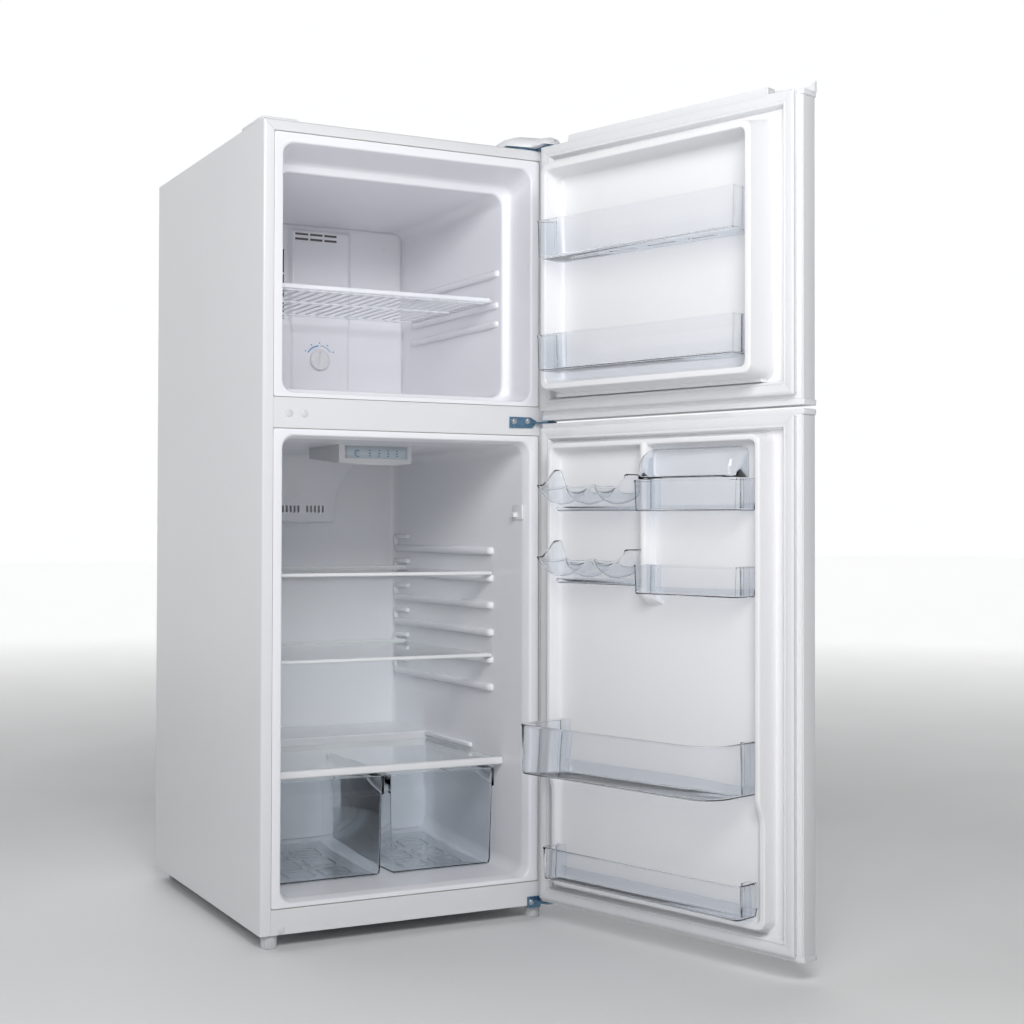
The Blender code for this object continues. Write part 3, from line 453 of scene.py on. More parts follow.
def carve(piece, place, fill):
    """Cuts the blocks that the function fill puts in a bmesh out of a piece."""
    shape = bmesh.new()
    fill(shape)
    bmesh.ops.recalc_face_normals(shape, faces=shape.faces)
    shape.transform(place)
    mesh = bpy.data.meshes.new(piece.name + "_cut")
    shape.to_mesh(mesh)
    shape.free()
    tool = bpy.data.objects.new(piece.name + "_cut", mesh)
    bpy.context.scene.collection.objects.link(tool)
    add_modifier(piece, "BOOLEAN", object=tool, operation="DIFFERENCE", solver="EXACT")
    bpy.context.view_layer.update()
    graph = bpy.context.evaluated_depsgraph_get()
    cut = bpy.data.meshes.new_from_object(piece.evaluated_get(graph))
    piece.modifiers.clear()
    piece.data = cut
    bpy.data.objects.remove(tool)


# ---------------------------------------------------------------- cabinet shell


def quarter(centre, radius, start, steps=5):
    """Points of a quarter turn about centre, from start degrees on."""
    turns = [math.radians(start + 90 * i / steps) for i in range(steps + 1)]
    return [(centre[0] + radius * math.cos(t), centre[1] + radius * math.sin(t)) for t in turns]


def make_shell():
    """The painted wrapper, folded round soft front edges, with the hole plugs and the cap over the hinge
    hole.
    """
    fold, thick = 4.0, 0.7
    for name, side in (("left_wrapper", -1), ("right_wrapper", 1)):
        outline = [(HALF_WIDTH, DEPTH)]
        outline += list(reversed(quarter((HALF_WIDTH - fold, fold), fold, 270)))
        outline += [(HALF_WIDTH - FLANGE, 0.0), (HALF_WIDTH - FLANGE, thick)]
        outline += quarter((HALF_WIDTH - fold, fold), fold - thick, 270)
        outline.append((HALF_WIDTH - thick, DEPTH))
        shape = bmesh.new()
        top = [(side * x, y, HEIGHT - (HALF_WIDTH - x)) for x, y in outline]
        add_rings(shape, [[(x, y, 0.0) for x, y, _ in top], top])
        node = "side_panel_left" if side < 0 else "side_panel_right"
        add_piece(name, shape, "paint", node=node)

    shape = bmesh.new()
    inner, outer = HALF_WIDTH - FLANGE - 0.2, HALF_WIDTH - thick - 0.1
    sheet = [(-outer, 0.8), (-inner, 0.8), (-inner, fold), (inner, fold), (inner, 0.8), (outer, 0.8)]
    sheet += [(outer, DEPTH), (-outer, DEPTH)]
    add_bar(shape, facing_z, sheet, (HEIGHT - thick, HEIGHT))
    lip = [(fold, HEIGHT)] + quarter((fold, HEIGHT - fold), fold, 90)
    lip += [(0.0, HEIGHT - FLANGE), (thick, HEIGHT - FLANGE)]
    lip += list(reversed(quarter((fold, HEIGHT - fold), fold - thick, 90)))
    mitre = [HALF_WIDTH - (HEIGHT - z) - 0.5 for _, z in lip]
    add_rings(shape, [[(s * x, y, z) for x, (y, z) in zip(mitre, lip)] for s in (-1, 1)])
    add_piece("top_sheet", shape, "paint", node="top_panel")

    shape = bmesh.new()
    for x, z in ((-248.0, 951.0), (-218.0, 951.0), (-259.0, 8.0)):
        profile = ((1.5, 0.2), (7.0, 0.2), (7.0, -0.9), (5.6, -1.9), (3.0, -2.4), (0.8, -2.5))
        add_rings(shape, turned(profile, (x, 0.0, z), "y", 20))
    # The plugs take the housing look: white plastic painted darker as shade, so they stand out
    add_piece("hole_plugs", shape, "housing", smooth=50)

    shape = bmesh.new()
    add_block(shape, (-298.4, -222.0), (18.0, 134.0), (HEIGHT + 0.2, HEIGHT + 7.6), 9.0, 1.8)
    add_piece("hinge_hole_cap", shape, "plastic")


# ---------------------------------------------------------------- liners


def pocket_loops(rows, reaches):
    """Loops of a compartment's wall. A row is (half width, low, high, corner radius, depth)."""
    loops = []
    for half, low, high, radius, depth in soften(rows, reaches):
        loops.append(facing_y(rounded((-half, half), (low, high), radius, 7), depth))
    return loops


def freezer_wall(y):
    """Half the freezer's inner width at a depth. It narrows toward the back."""
    return 240.5 - 4.5 * (y - 85.0) / 487.0


def fridge_wall(y):
    """Half the fresh food compartment's inner width at a depth."""
    return FRIDGE_HALF - 8.5 * (y - 24.0) / 588.0


def add_rail(shape, side, wall, reach, span_y, span_z, nose=12.0):
    """A shelf rib that swells out of a side wall and dies back into it at both ends."""
    (y0, y1), (z0, z1) = span_y, span_z
    stations = (
        (y0, 0.0), (y0 + 0.2 * nose, 0.62), (y0 + 0.5 * nose, 0.88), (y0 + nose, 1.0),
        (y1 - nose, 1.0), (y1 - 0.5 * nose, 0.88), (y1 - 0.2 * nose, 0.62), (y1, 0.0),
    )
    middle, half = (z0 + z1) / 2, (z1 - z0) / 2
    loops = []
    for y, swell in stations:
        base = wall(y) + 1.0
        tip = wall(y) - reach * swell
        height = half * (0.55 + 0.45 * swell)
        ease = 0.35 * (base - tip)
        section = (
            (base, -height), (tip + ease, -0.96 * height), (tip + 0.1 * ease, -0.6 * height),
            (tip, 0.0), (tip + 0.1 * ease, 0.6 * height), (tip + ease, 0.96 * height), (base, height),
        )
        loops.append([(side * x, y, middle + z) for x, z in section])
    add_rings(shape, loops)


# From front to back and from bottom to top of each rib
FREEZER_RAILS = (
    (97.0, 480.0, 1250.0, 1265.0),
    (100.0, 500.0, 1186.0, 1200.5),
    (100.0, 504.0, 1148.0, 1162.0),
)
FRIDGE_RAIL_TOPS = [702.0 - 55.8 * i for i in range(6)]


def make_freezer_liner():
    """The freezer's inner box, with three ribs on each side."""
    shape = bmesh.new()
    low, high = FREEZER_Z
    edge = HALF_WIDTH - FLANGE
    rows = (
        (edge + 1, MULLION_Z[1] - 2, HEIGHT - FLANGE + 1, 4, 3.6),
        (edge - 1.0, MULLION_Z[1] + 1.0, HEIGHT - FLANGE - 1.0, 4, 3.6),
        (edge - 1.4, MULLION_Z[1] + 1.4, HEIGHT - FLANGE - 1.4, 4, 1.0),
        (edge - 3, MULLION_Z[1] + 3, HEIGHT - FLANGE - 4, 8, 1.0),
        (OPENING_HALF, low, high, 24, 1.8),
        (OPENING_HALF - 2, low + 4, high - 19, 26, 80),
        (240.5, 1004, 1414, 24, 85.5),
        (236, 1006, 1413, 24, 572),
    )
    add_rings(shape, pocket_loops(rows, (0.1, 0.4, 0.5, 6, 10, 7)), start_cap=False)
    turn_faces(shape, (0, 250, 1200))
    for side in (-1, 1):
        for y0, y1, z0, z1 in FREEZER_RAILS:
            add_rail(shape, side, freezer_wall, 7.5, (y0, y1), (z0, z1), 14.0)
    add_piece("freezer_compartment", shape, "liner", node="freezer_liner", smooth=50, sheet=1.2)


def make_fridge_liner():
    """The fresh food compartment's inner box with its shelf ribs, and the raised floor at the back."""
    shape = bmesh.new()
    low, high = FRIDGE_Z
    edge = HALF_WIDTH - FLANGE
    rows = (
        (edge + 1, KICK_TOP - 2, MULLION_Z[0] + 1, 4, 3.6),
        (edge - 1.0, KICK_TOP + 1.0, MULLION_Z[0] - 1.0, 4, 3.6),
        (edge - 1.4, KICK_TOP + 1.4, MULLION_Z[0] - 1.4, 4, 1.0),
        (edge - 3, KICK_TOP + 2.5, MULLION_Z[0] - 3, 8, 1.0),
        (OPENING_HALF, low, high, 24, 1.8),
        (FRIDGE_HALF, low + 4, high - 5, 24, 24),
        (245.5, 62, 903, 24, 612),
        (180, 110, 850, 10, 612),
    )
    add_rings(shape, pocket_loops(rows, (0.1, 0.4, 0.5, 6, 5, 20)), start_cap=False)
    turn_faces(shape, (0, 300, 500))
    for side in (-1, 1):
        for top in FRIDGE_RAIL_TOPS:
            add_rail(shape, side, fridge_wall, 11.0, (140.0, 600.0), (top - 16, top))
            add_rail(shape, side, fridge_wall, 9.0, (532.0, 604.0), (top + 13, top + 24), 6.0)
            add_rail(shape, side, fridge_wall, 9.0, (590.0, 606.0), (top - 6, top + 24), 5.0)
        add_rail(shape, side, fridge_wall, 8.0, (231.0, 446.0), (281.0, 291.0), 8.0)
        add_rail(shape, side, fridge_wall, 11.0, (112.0, 436.0), (260.0, 271.5), 8.0)
    add_piece("fridge_compartment", shape, "liner", node="fridge_liner", smooth=50, sheet=1.2)
    shape = bmesh.new()
    ledge = [(439.8, 61.0), (439.8, 291.5), (611.5, 293.0), (611.5, 61.0)]
    add_bar(shape, facing_x, ledge, (-250.0, 250.0))
    add_piece("raised_floor", shape, "liner", bevel=3.0)


# ---------------------------------------------------------------- freezer fittings


def smooth_step(low, high, value):
    t = min(1.0, max(0.0, (value - low) / (high - low)))
    return t * t * (3 - 2 * t)


def cover_relief(x, z):
    """How far the evaporator cover stands out at a point: its duct and its deeper lower half."""
    across = smooth_step(-43, -31, x) * (1 - smooth_step(97, 112, x))
    up = 1 - smooth_step(1396, 1406, z)
    lower = 1 - smooth_step(1188, 1204, z)
    return 11.0 * max(across * up, lower * 0.62)


def steps_between(low, high, pitch):
    count = max(1, round((high - low) / pitch))
    return [low + (high - low) * i / count for i in range(count + 1)]


def make_evaporator_cover():
    """A moulded panel with a raised duct, a deeper lower half and two rows of vent slots."""
    xs = sorted(
        set(steps_between(-214, -45, 38) + steps_between(-43, -29, 2.5) + steps_between(96, 113, 2.5)
            + steps_between(116, 214, 40) + [-237.5, -228, -221, 221, 228, 237.5]
            + [-27.5, 3.5, 7.5, 37.5, 41.5, 71.5, 84])
    )
    zs = sorted(
        set([1007, 1014, 1021] + steps_between(1028, 1184, 44) + steps_between(1186, 1206, 4)
            + steps_between(1210, 1372, 40) + [1377.5, 1382.5, 1388.5, 1393.5]
            + steps_between(1395, 1407, 3) + [1413.5])
    )
    slots = [(-27.5, 3.5), (7.5, 37.5), (41.5, 71.5)]
    slot_rows = [(1377.5, 1382.5), (1388.5, 1393.5)]

    def is_slot(row, column):
        x = (xs[column] + xs[column + 1]) / 2
        z = (zs[row] + zs[row + 1]) / 2
        return any(a < x < b for a, b in slots) and any(a < z < b for a, b in slot_rows)

    def cornered(x, z):
        """Draws the square corners of the grid in to round ones."""
        radius, half, low, high = 20.0, 237.5, 1007.0, 1413.5
        across = max(abs(x) - (half - radius), 0.0)
        up = max(z - (high - radius), low + radius - z, 0.0)
        if across and up:
            pull = max(across, up) / math.hypot(across, up)
            x = math.copysign(half - radius + across * pull, x)
            up_side = 1 if z > (low + high) / 2 else -1
            edge = high - radius if up_side > 0 else low + radius
            z = edge + up_side * up * pull
        return x, z

    rows = []
    for z in zs:
        row = []
        for x in xs:
            round_x, round_z = cornered(x, z)
            row.append((round_x, COVER_FACE - cover_relief(x, z), round_z))
        rows.append(row)
    shape = bmesh.new()
    add_grid(shape, rows, is_slot)
    turn_faces(shape, (0, 0, 1200))
    add_piece(
        "evaporator_panel", shape, "liner", node="evaporator_cover",
        smooth=50, sheet=1.6,
    )
    # A dark plate behind the vent slots: painted shade for the hollow behind the cover
    shape = bmesh.new()
    add_block(shape, (-31.0, 75.0), (COVER_FACE - 8.4, COVER_FACE - 2.0), (1373.0, 1398.0), 2.0, 0.5)
    add_piece("outlet_slot_shade_plate", shape, "brown")
    shape = bmesh.new()
    profile = ((0.8, 1.0), (5.2, 1.0), (5.0, -0.8), (3.8, -1.5), (1.2, -1.6), (1.0, -0.6))
    add_rings(shape, turned(profile, (191, COVER_FACE, 1374), "y", 20))
    add_piece("cover_screw_plug", shape, "plastic", smooth=50)
    # Thin black strips on the cover's face: painted shade standing for side vent slits
    shape = bmesh.new()
    vents = [(1250, 1300), (1304, 1356)] + [(1180 + 9 * i, 1186 + 9 * i) for i in range(7)]
    for low, high in vents:
        slit = (-53.5, -50.5), (COVER_FACE - 0.35, COVER_FACE - 0.1), (low, high)
        add_block(shape, *slit, 1.2, 0.05)
    add_piece("side_vent_slit_shade", shape, "black")


def make_dial():
    """The dial on the duct, with a printed arc and dots round it."""
    face = COVER_FACE - 11.0
    x, z = 31, 1113

    def around(radius, angle):
        return (x + radius * math.cos(angle), z + radius * math.sin(angle))

    def add_print(outline):
        add_bar(shape, facing_y, outline, (face - 0.15, face - 0.35))

    shape = bmesh.new()
    profile = ((1.0, 3.5), (23.0, 3.5), (23.5, 3.0), (23.5, -5.0), (22.0, -7.0), (19.0, -7.6))
    profile += ((18.4, -6.6), (2.0, -6.6))
    add_rings(shape, turned([(r, h - 1.0) for r, h in profile], (x, face, z), "y", 40))
    add_block(shape, (x - 2.5, x + 2.5), (face - 9.2, face - 6.8), (z - 17, z + 17), 1.0, 0.8)
    add_piece("temperature_dial", shape, "plastic", "freezer_dial", "freezer_dial", smooth=40)
    shape = bmesh.new()
    for start, stop, width in ((35, 85, 1.2), (95, 150, 2.6)):
        arc = [math.radians(a) for a in steps_between(start, stop, 5)]
        add_print([around(32.5, a) for a in arc] + [around(32.5 - width, a) for a in reversed(arc)])
    for angle in (30, 60, 90, 120, 150):
        add_print(circle(around(38, math.radians(angle)), 1.6, 10))
    add_piece("dial_print", shape, "blue")


def make_wire_shelf():
    """A shelf of close wires over cross wires, with a moulded bar along its front."""
    base, front, back, half = 1201.4, 116.0, 496.0, 232.0
    radius = 2.0
    shape = bmesh.new()
    gaps = 20
    for i in range(gaps + 1):
        x = -half + 3 + (2 * half - 6) * i / gaps
        path = [(x, front + 1, base + 2 * radius), (x, back, base + 2 * radius)]
        add_tube(shape, path, 1.9)
    for y in (front + 30, (front + back) / 2, back - 6):
        add_tube(shape, [(-half, y, base), (half, y, base)], radius)
    for side in (-1, 1):
        add_tube(shape, [(side * half, front, base + 1), (side * half, back, base + 1)], radius)
    add_piece("shelf_wires", shape, "wire", "wire_shelf", "wire_shelf", smooth=60)
    shape = bmesh.new()
    outline = rounded((front - 4.5, front + 4.5), (1198.5, 1208.5), 4.2, 4)
    add_bar(shape, facing_x, outline, (-226.5, 226.5))
    add_piece(
        "shelf_front_bar", shape, "wire", "wire_shelf", "wire_shelf_trim", smooth=60
    )


# ---------------------------------------------------------------- fresh food fittings


def make_glass_shelves():
    for body, top in (("glass_shelf_upper", 646.2), ("glass_shelf_lower", 478.8)):
        shape = bmesh.new()
        add_block(shape, (-245.5, 245.5), (143.0, 554.0), (top + 0.4, top + 4.2), 6.0, 0.5)
        add_piece(body + "_pane", shape, "glass", body, body)
        shape = bmesh.new()
        section = rounded((-4.5, 7.0), (-1.2, 5.8), 2.2, 3)
        outline = [(140 + y, top + 0.3 + z) for y, z in section]
        add_bar(shape, facing_x, outline, (-246.0, 246.0))
        add_block(shape, (-246.0, 246.0), (548.0, 558.0), (top + 0.4, top + 9.0), 2.0, 1.0)
        add_piece(body + "_edging", shape, "plastic", body, body + "_trim")


def make_crisper_cover():
    shape = bmesh.new()
    add_block(shape, (-248.0, 248.0), (106.0, 436.0), (272.3, 276.3), 4.0, 0.5)
    add_piece("crisper_cover_pane", shape, "glass", node="crisper_cover")
    shape = bmesh.new()
    section = rounded((95.0, 108.0), (264.5, 279.0), 3.5, 4)
    add_bar(shape, facing_x, section, (-250.0, 250.0))
    add_piece("crisper_cover_rail", shape, "plastic", node="crisper_cover_trim")


def tray_loops(span_x, span_y, span_z, taper, wall, radius, lip=1.2, round_foot=3.0):
    """Loops of an open tray, from the middle of its underside over the rim to its floor."""
    low, high = span_z

    def level(inset, z):
        radii = radius if isinstance(radius, (tuple, list)) else (radius,) * 4
        shrunk = tuple(max(r - inset, 1.0) for r in radii)
        return drawn_in(span_x, span_y, inset, shrunk, z)

    foot = taper + round_foot
    return [
        level(foot + 1.0, low),
        level(foot - 0.12 * round_foot, low + 0.12 * round_foot),
        level(taper + 0.3 * round_foot, low + 0.35 * round_foot),
        level(taper, low + round_foot),
        level(lip, high - 3.6),
        level(0.0, high - 3.0),
        level(0.0, high - 0.8),
        level(0.6, high),
        level(lip + wall - 0.5, high),
        level(lip + wall, high - 0.8),
        level(taper + wall, low + round_foot + wall * 0.5),
        level(taper + wall + 0.35 * round_foot, low + wall + 0.3 * round_foot),
        level(foot + wall + 1.0, low + wall),
    ]


def crisper_loops(span_x, span_y, span_z, band_low):
    """Loops of a deep drawer with a thick band round its rim."""
    low, high = span_z
    thick, gap = 2.4, 3.4
    rows = (
        (21.0, low), (12.5, low + 0.6), (9.5, low + 3.0), (8.0, low + 11.0), (gap + 0.8, band_low),
        (0.7, band_low), (0.0, band_low + 0.6),
        (0.0, high - 0.9), (0.7, high), (gap + thick - 0.7, high), (gap + thick, high - 0.9),
        (8.0 + thick, low + 12.0), (9.5 + thick, low + 5.0), (12.5 + thick, low + thick + 0.5),
        (21.0 + thick, low + thick),
    )
    loops = []
    for inset, z in rows:
        loops.append(drawn_in(span_x, span_y, inset, max(13.0 - inset, 4.0), z))
    return loops


def add_floor_frame(shape, span_x, span_y, floor_z):
    """A low moulded frame on a drawer's floor."""
    width, height = 2.4, 1.4
    loops = []
    for inset, z in ((0.0, 0.0), (0.4, height), (width - 0.4, height), (width, 0.0)):
        loops.append(drawn_in(span_x, span_y, inset, max(7.0 - inset, 2.0), floor_z + z, 4))
    add_rings(shape, loops, closed=True)


def make_crispers():
    for body, side in (("crisper_left", -1), ("crisper_right", 1)):
        middle = side * 121.5
        shape = bmesh.new()
        span = (middle - 117.3, middle + 117.3)
        add_rings(shape, crisper_loops(span, (100.3, 421.7), (62.3, 257.4), 221.0))
        add_piece(body + "_drawer", shape, "thin_clear", body, body, smooth=40)
        shape = bmesh.new()
        for row in (150.0, 225.0, 300.0):
            for x in (middle - 66.0, middle + 8.0):
                add_floor_frame(shape, (x, x + 58.0), (row, row + 52.0), 65.2)
        add_piece(body + "_floor_ribs", shape, "thin_clear", body)


def make_controls():
    """The control box under the ceiling with its grey panel, and its icons in generic print."""
    shape = bmesh.new()
    half, low, high = 79.0, 864.0, 905.5
    xs = steps_between(-half, half, 8)

    def front(x):
        return 156.0 + 12.0 * (abs(x) / half) ** 2.2

    def belly(x):
        return low + 5.0 * (abs(x) / half) ** 2

    top_edge = [(x, front(x), high) for x in xs]
    brow = [(x, front(x), belly(x) + 7.0) for x in xs]
    chin = [(x, front(x) + 2.0, belly(x) + 2.2) for x in xs]
    under = [(x, front(x) + 7.0, belly(x)) for x in xs]
    rear_under = [(x, 328.0, belly(x) + 14.0) for x in xs]
    rear_top = [(x, 328.0, high) for x in xs]
    rings = list(zip(top_edge, brow, chin, under, rear_under, rear_top))
    add_rings(shape, [list(ring) for ring in rings])
    # The box takes the housing look: white plastic painted darker as the shade under the ceiling
    add_piece("control_box", shape, "housing", node="control_housing", smooth=40)
    shape = bmesh.new()
    panel_xs = steps_between(-68, 68, 8)
    rows = [[(x, front(x) - 0.35, z) for x in panel_xs] for z in (878.0, 903.0)]
    add_grid(shape, rows)
    turn_faces(shape, (0, 0, 890))
    add_piece("control_panel", shape, "grey", sheet=0.3)
    shape = bmesh.new()
    for x in (-18, 2, 22, 42):
        y = front(x) - 0.5
        for z, width in ((894.0, 1.6), (888.5, 2.4), (883.5, 1.6)):
            add_block(shape, (x - width, x + width), (y - 0.2, y), (z - 1.2, z + 1.2), 0.1, 0.1)
    ring = ((5.6, 0.0), (7.0, 0.0), (7.0, -0.3), (5.6, -0.3))
    add_rings(shape, turned(ring, (-43, front(43) - 0.5, 888), "y", 24), closed=True)
    add_piece("control_icons", shape, "icon")
    shape = bmesh.new()
    profile = ((0.6, 3.0), (5.0, 3.0), (5.0, -0.7), (4.2, -1.2), (0.6, -1.3))
    add_rings(shape, turned(profile, (-43, front(43), 888), "y", 24))
    add_piece("control_key", shape, "grey", "control_button", "control_button")


def make_duct_cover():
    """The outlet cover on the back wall, wide at the ceiling, with two groups of slots."""
    front, back = 566.0, 611.0
    side = [(76, 752), (77, 772), (84, 826), (126, 884), (131, 905)]
    side = soften(side, (8, 14, 14), 5)

    def outline(grow, drop):
        right = [(x + grow, max(z, 752 + drop)) for x, z in side]
        return right + [(-x, z) for x, z in reversed(right)]

    shape = bmesh.new()
    loops = [facing_y(outline(0, 0), back), facing_y(outline(0, 0), front + 5)]
    loops += [facing_y(outline(-1.5, 1.5), front + 1.5), facing_y(outline(-5, 5), front)]
    add_rings(shape, loops)
    piece = add_piece(
        "outlet_cover", shape, "liner", node="air_duct_cover", smooth=50
    )

    def slots(cutters):
        for group in (-1, 1):
            for i in range(5):
                x = group * 29.0 + (i - 2) * 9.2
                add_block(cutters, (x - 2.4, x + 2.4), (front - 8, front + 22), (774, 789), 2.2, 0.3)

    carve(piece, CABINET, slots)


def make_door_switch():
    wall = 253.9
    shape = bmesh.new()
    add_block(shape, (wall - 3.0, wall + 0.6), (19.0, 58.0), (758.5, 787.5), 0.8, 0.6)
    add_piece("switch_plate", shape, "plastic", node="door_switch_housing", bevel=0.6)
    shape = bmesh.new()
    rocker = [(wall - 11, 762.6), (wall - 11, 771.6), (wall + 4, 774), (wall + 4, 762.6)]
    add_bar(shape, facing_y, rocker, (39.2, 54.8))
    add_piece(
        "switch_rocker", shape, "plastic", "door_switch_plunger", "door_switch_plunger", bevel=0.8
    )


# ---------------------------------------------------------------- hinges, feet, machine room


def make_hinges():
    hinge_x, hinge_y = 289.3, -29.2
    shape = bmesh.new()
    plate = [(211, 937.5), (262, 938.4), (271, 949.8), (271, 952.5), (258, 959.5), (211, 959.5)]
    add_bar(shape, facing_y, plate, (-0.35, -2.9))
    arm = [(256, -0.5), (270, -17), (hinge_x - 13, -38), (hinge_x + 8, -38)]
    arm += [(hinge_x + 8, -20), (276, -0.5)]
    add_bar(shape, facing_z, arm, (947.6, 950.4))
    pin_profile = ((1.0, -13.0), (3.4, -13.0), (3.9, -12.4), (3.9, 10.4), (3.4, 11.0), (1.0, 11.0))
    add_rings(shape, turned(pin_profile, (hinge_x, hinge_y, 950.2), "z", 16))
    collar = ((4.5, 950.6), (7.5, 950.6), (7.5, 951.6), (4.5, 951.6))
    add_rings(shape, turned(collar, (hinge_x, hinge_y, 0), "z", 16), closed=True)
    add_piece("middle_hinge", shape, "zinc", node="middle_hinge_bracket", bevel=0.5)
    shape = bmesh.new()
    foot_plate = [(253.5, -4.5), (283, -4.5), (283, 17.5), (253.5, 17.5)]
    add_bar(shape, facing_y, foot_plate, (-0.35, -2.9))
    arm = [(262, -0.5), (268, -22), (hinge_x - 12, -38), (hinge_x + 8, -38), (hinge_x + 8, -20)]
    arm += [(283, -0.5)]
    add_bar(shape, facing_z, arm, (7.6, 10.4))
    low_pin = ((1.0, 7.0), (3.9, 7.0), (3.9, 20.6), (3.4, 21.2), (1.0, 21.2))
    add_rings(shape, turned(low_pin, (hinge_x, hinge_y, 0), "z", 16))
    add_piece("bottom_hinge", shape, "zinc", node="bottom_hinge_bracket", bevel=0.5)
    shape = bmesh.new()
    for x, z in ((221, 951), (251, 952), (262, 7)):
        add_screw(shape, x, z)
    add_piece("hinge_screws", shape, "screw", smooth=50)
    make_top_hinge()


def add_screw(shape, x, z):
    """A washer-head screw with a cross recess, driven into the cabinet's front."""
    head = ((0.8, -3.0), (6.0, -3.0), (6.0, -3.6), (4.6, -3.8), (4.3, -5.6), (3.2, -6.4), (2.2, -6.5))
    head += ((1.6, -5.2), (0.6, -5.2))
    add_rings(shape, turned(head, (x, 0.0, z), "y", 18))


def make_top_hinge():
    """The moulded cover over the top hinge, rising over the door."""
    shape = bmesh.new()
    stations = (
        (-46.0, 266.0, 6.0), (-43.0, 262.0, 12.0), (-30.0, 262.5, 17.5), (-6.0, 256.0, 19.5),
        (4.0, 214.0, 20.0), (30.0, 206.0, 20.0), (52.0, 204.0, 17.0), (60.0, 208.0, 10.0),
    )
    low = HEIGHT + 4.0
    loops = []
    for y, left, rise in stations:
        section = [(left, 0.0), (left + 1.0, 0.45 * rise), (left + 10.0, 0.85 * rise)]
        section += [(left + 24.0, rise), (288.0, rise), (296.0, 0.86 * rise)]
        section += [(299.0, 0.5 * rise), (299.5, 0.0)]
        loops.append([(x, y, low + z) for x, z in section])
    add_rings(shape, loops)
    add_piece("top_hinge_shroud", shape, "plastic", node="top_hinge_cover", smooth=60)


def make_feet():
    """Two levelling feet with fluted rims."""
    for name, side in (("foot_front_left", -1), ("foot_front_right", 1)):
        shape = bmesh.new()
        loops = []
        profile = ((0.0, 2.0), (0.5, 0.8), (2.0, 0.0), (23.5, 0.0), (25.2, 0.8), (25.6, 3.0))
        for height, shrink in profile:
            ring = []
            for i in range(96):
                a = 2 * math.pi * i / 96
                radius = 14.3 + 0.55 * math.cos(16 * a) - shrink
                x, y = side * 276.0 + radius * math.cos(a), 20.0 + radius * math.sin(a)
                ring.append((x, y, height - FOOT_HEIGHT))
            loops.append(ring)
        add_rings(shape, loops)
        add_piece(name + "_screw_foot", shape, "foot", node=name, smooth=50)


def make_machine_room():
    """The compressor's domed can with its welded seam and feet, and the rear screws."""
    x, y = 60.0, 590.0
    shape = bmesh.new()
    stations = (
        (22.0, 0.30), (24.0, 0.62), (32.0, 0.86), (50.0, 0.97), (80.0, 1.0), (88.0, 1.0), (88.5, 1.05),
        (94.5, 1.05), (95.0, 1.0), (120.0, 0.97), (142.0, 0.84), (153.0, 0.62), (158.0, 0.34), (159.0, 0.1),
    )
    ring = circle((0.0, 0.0), 1.0, 48)
    loops = []
    for height, spread in stations:
        loops.append([(x + 78.0 * spread * a, y + 64.0 * spread * b, height) for a, b in ring])
    add_rings(shape, loops)
    stud = ((1.0, 3.0), (9.0, 3.0), (9.0, 26.0), (1.0, 26.0))
    for side in (-1, 1):
        span_x = sorted((x + side * 24.0, x + side * 76.0))
        add_block(shape, span_x, (y - 26.0, y + 26.0), (6.0, 9.0), 10.0, 0.6)
        add_rings(shape, turned(stud, (x + side * 40.0, y, 0.0), "z", 20))
    add_piece("compressor_can", shape, "black", node="compressor")
    shape = bmesh.new()
    head = ((0.6, 0.1), (4.6, 0.1), (4.4, 1.6), (2.6, 2.2), (0.6, 2.3))
    for side in (-1, 1):
        for height in (250.0, 550.0, 850.0, 1150.0, 1450.0):
            add_rings(shape, turned(head, (side * 288.0, DEPTH, height), "y", 16))
    add_piece("rear_screws", shape, "screw", smooth=50)


# ---------------------------------------------------------------- doors


def make_door_slab(prefix, door_z):
    """The folded outer sheet of a door, with soft front edges."""
    shape = bmesh.new()
    span = (door_z[0] + CAP_HEIGHT + 0.2, door_z[1] - CAP_HEIGHT - 0.2)
    outline = rounded(DOOR_X, (DOOR_FRONT, 11.4), (5.0, 1.2, 1.2, 5.0), 5)
    add_rings(shape, [facing_z(outline, span[0]), facing_z(outline, span[1])])
    add_piece(prefix + "_sheet", shape, "paint", prefix, prefix + "_skin", smooth=50)


def add_cap(shape, span_z):
    """A moulded cap over an end of the door, standing a little proud at the free edge."""
    low, high = span_z
    levels = ((low, 1.0), (low + 0.4, 0.3), (low + 1.2, 0.0), (high - 1.2, 0.0), (high - 0.4, 0.3))
    levels += ((high, 1.0),)
    span_x = (DOOR_X[0] - 2.6, DOOR_X[1] + 0.5)
    span_y = (DOOR_FRONT - 0.6, RIM - 0.2)
    corners = (4.5, 2.0, 2.0, 5.5)
    add_rings(shape, [drawn_in(span_x, span_y, inset, corners, z, 5) for z, inset in levels])


def add_front_lip(shape, base):
    """The upstand along the front of the top cap, which dips and then sweeps up to the free edge."""
    crown = ((-591.4, 1508.0), (-586.0, 1504.6), (-577.0, 1501.0), (-566.0, 1499.4), (-552.0, 1499.6))
    crown += ((-540.0, 1500.8), (-528.0, 1503.6), (-518.0, 1506.0), (-480.0, 1507.0), (-53.5, 1507.0))
    loops = []
    for x, top in crown:
        loops.append(
            [
                (x, -26.4, base), (x, -26.4, top - 1.0), (x, -25.4, top), (x, -23.4, top - 0.4),
                (x, -21.6, top - 2.5), (x, -19.8, base + 4.0), (x, -17.5, base),
            ]
        )
    add_rings(shape, loops)


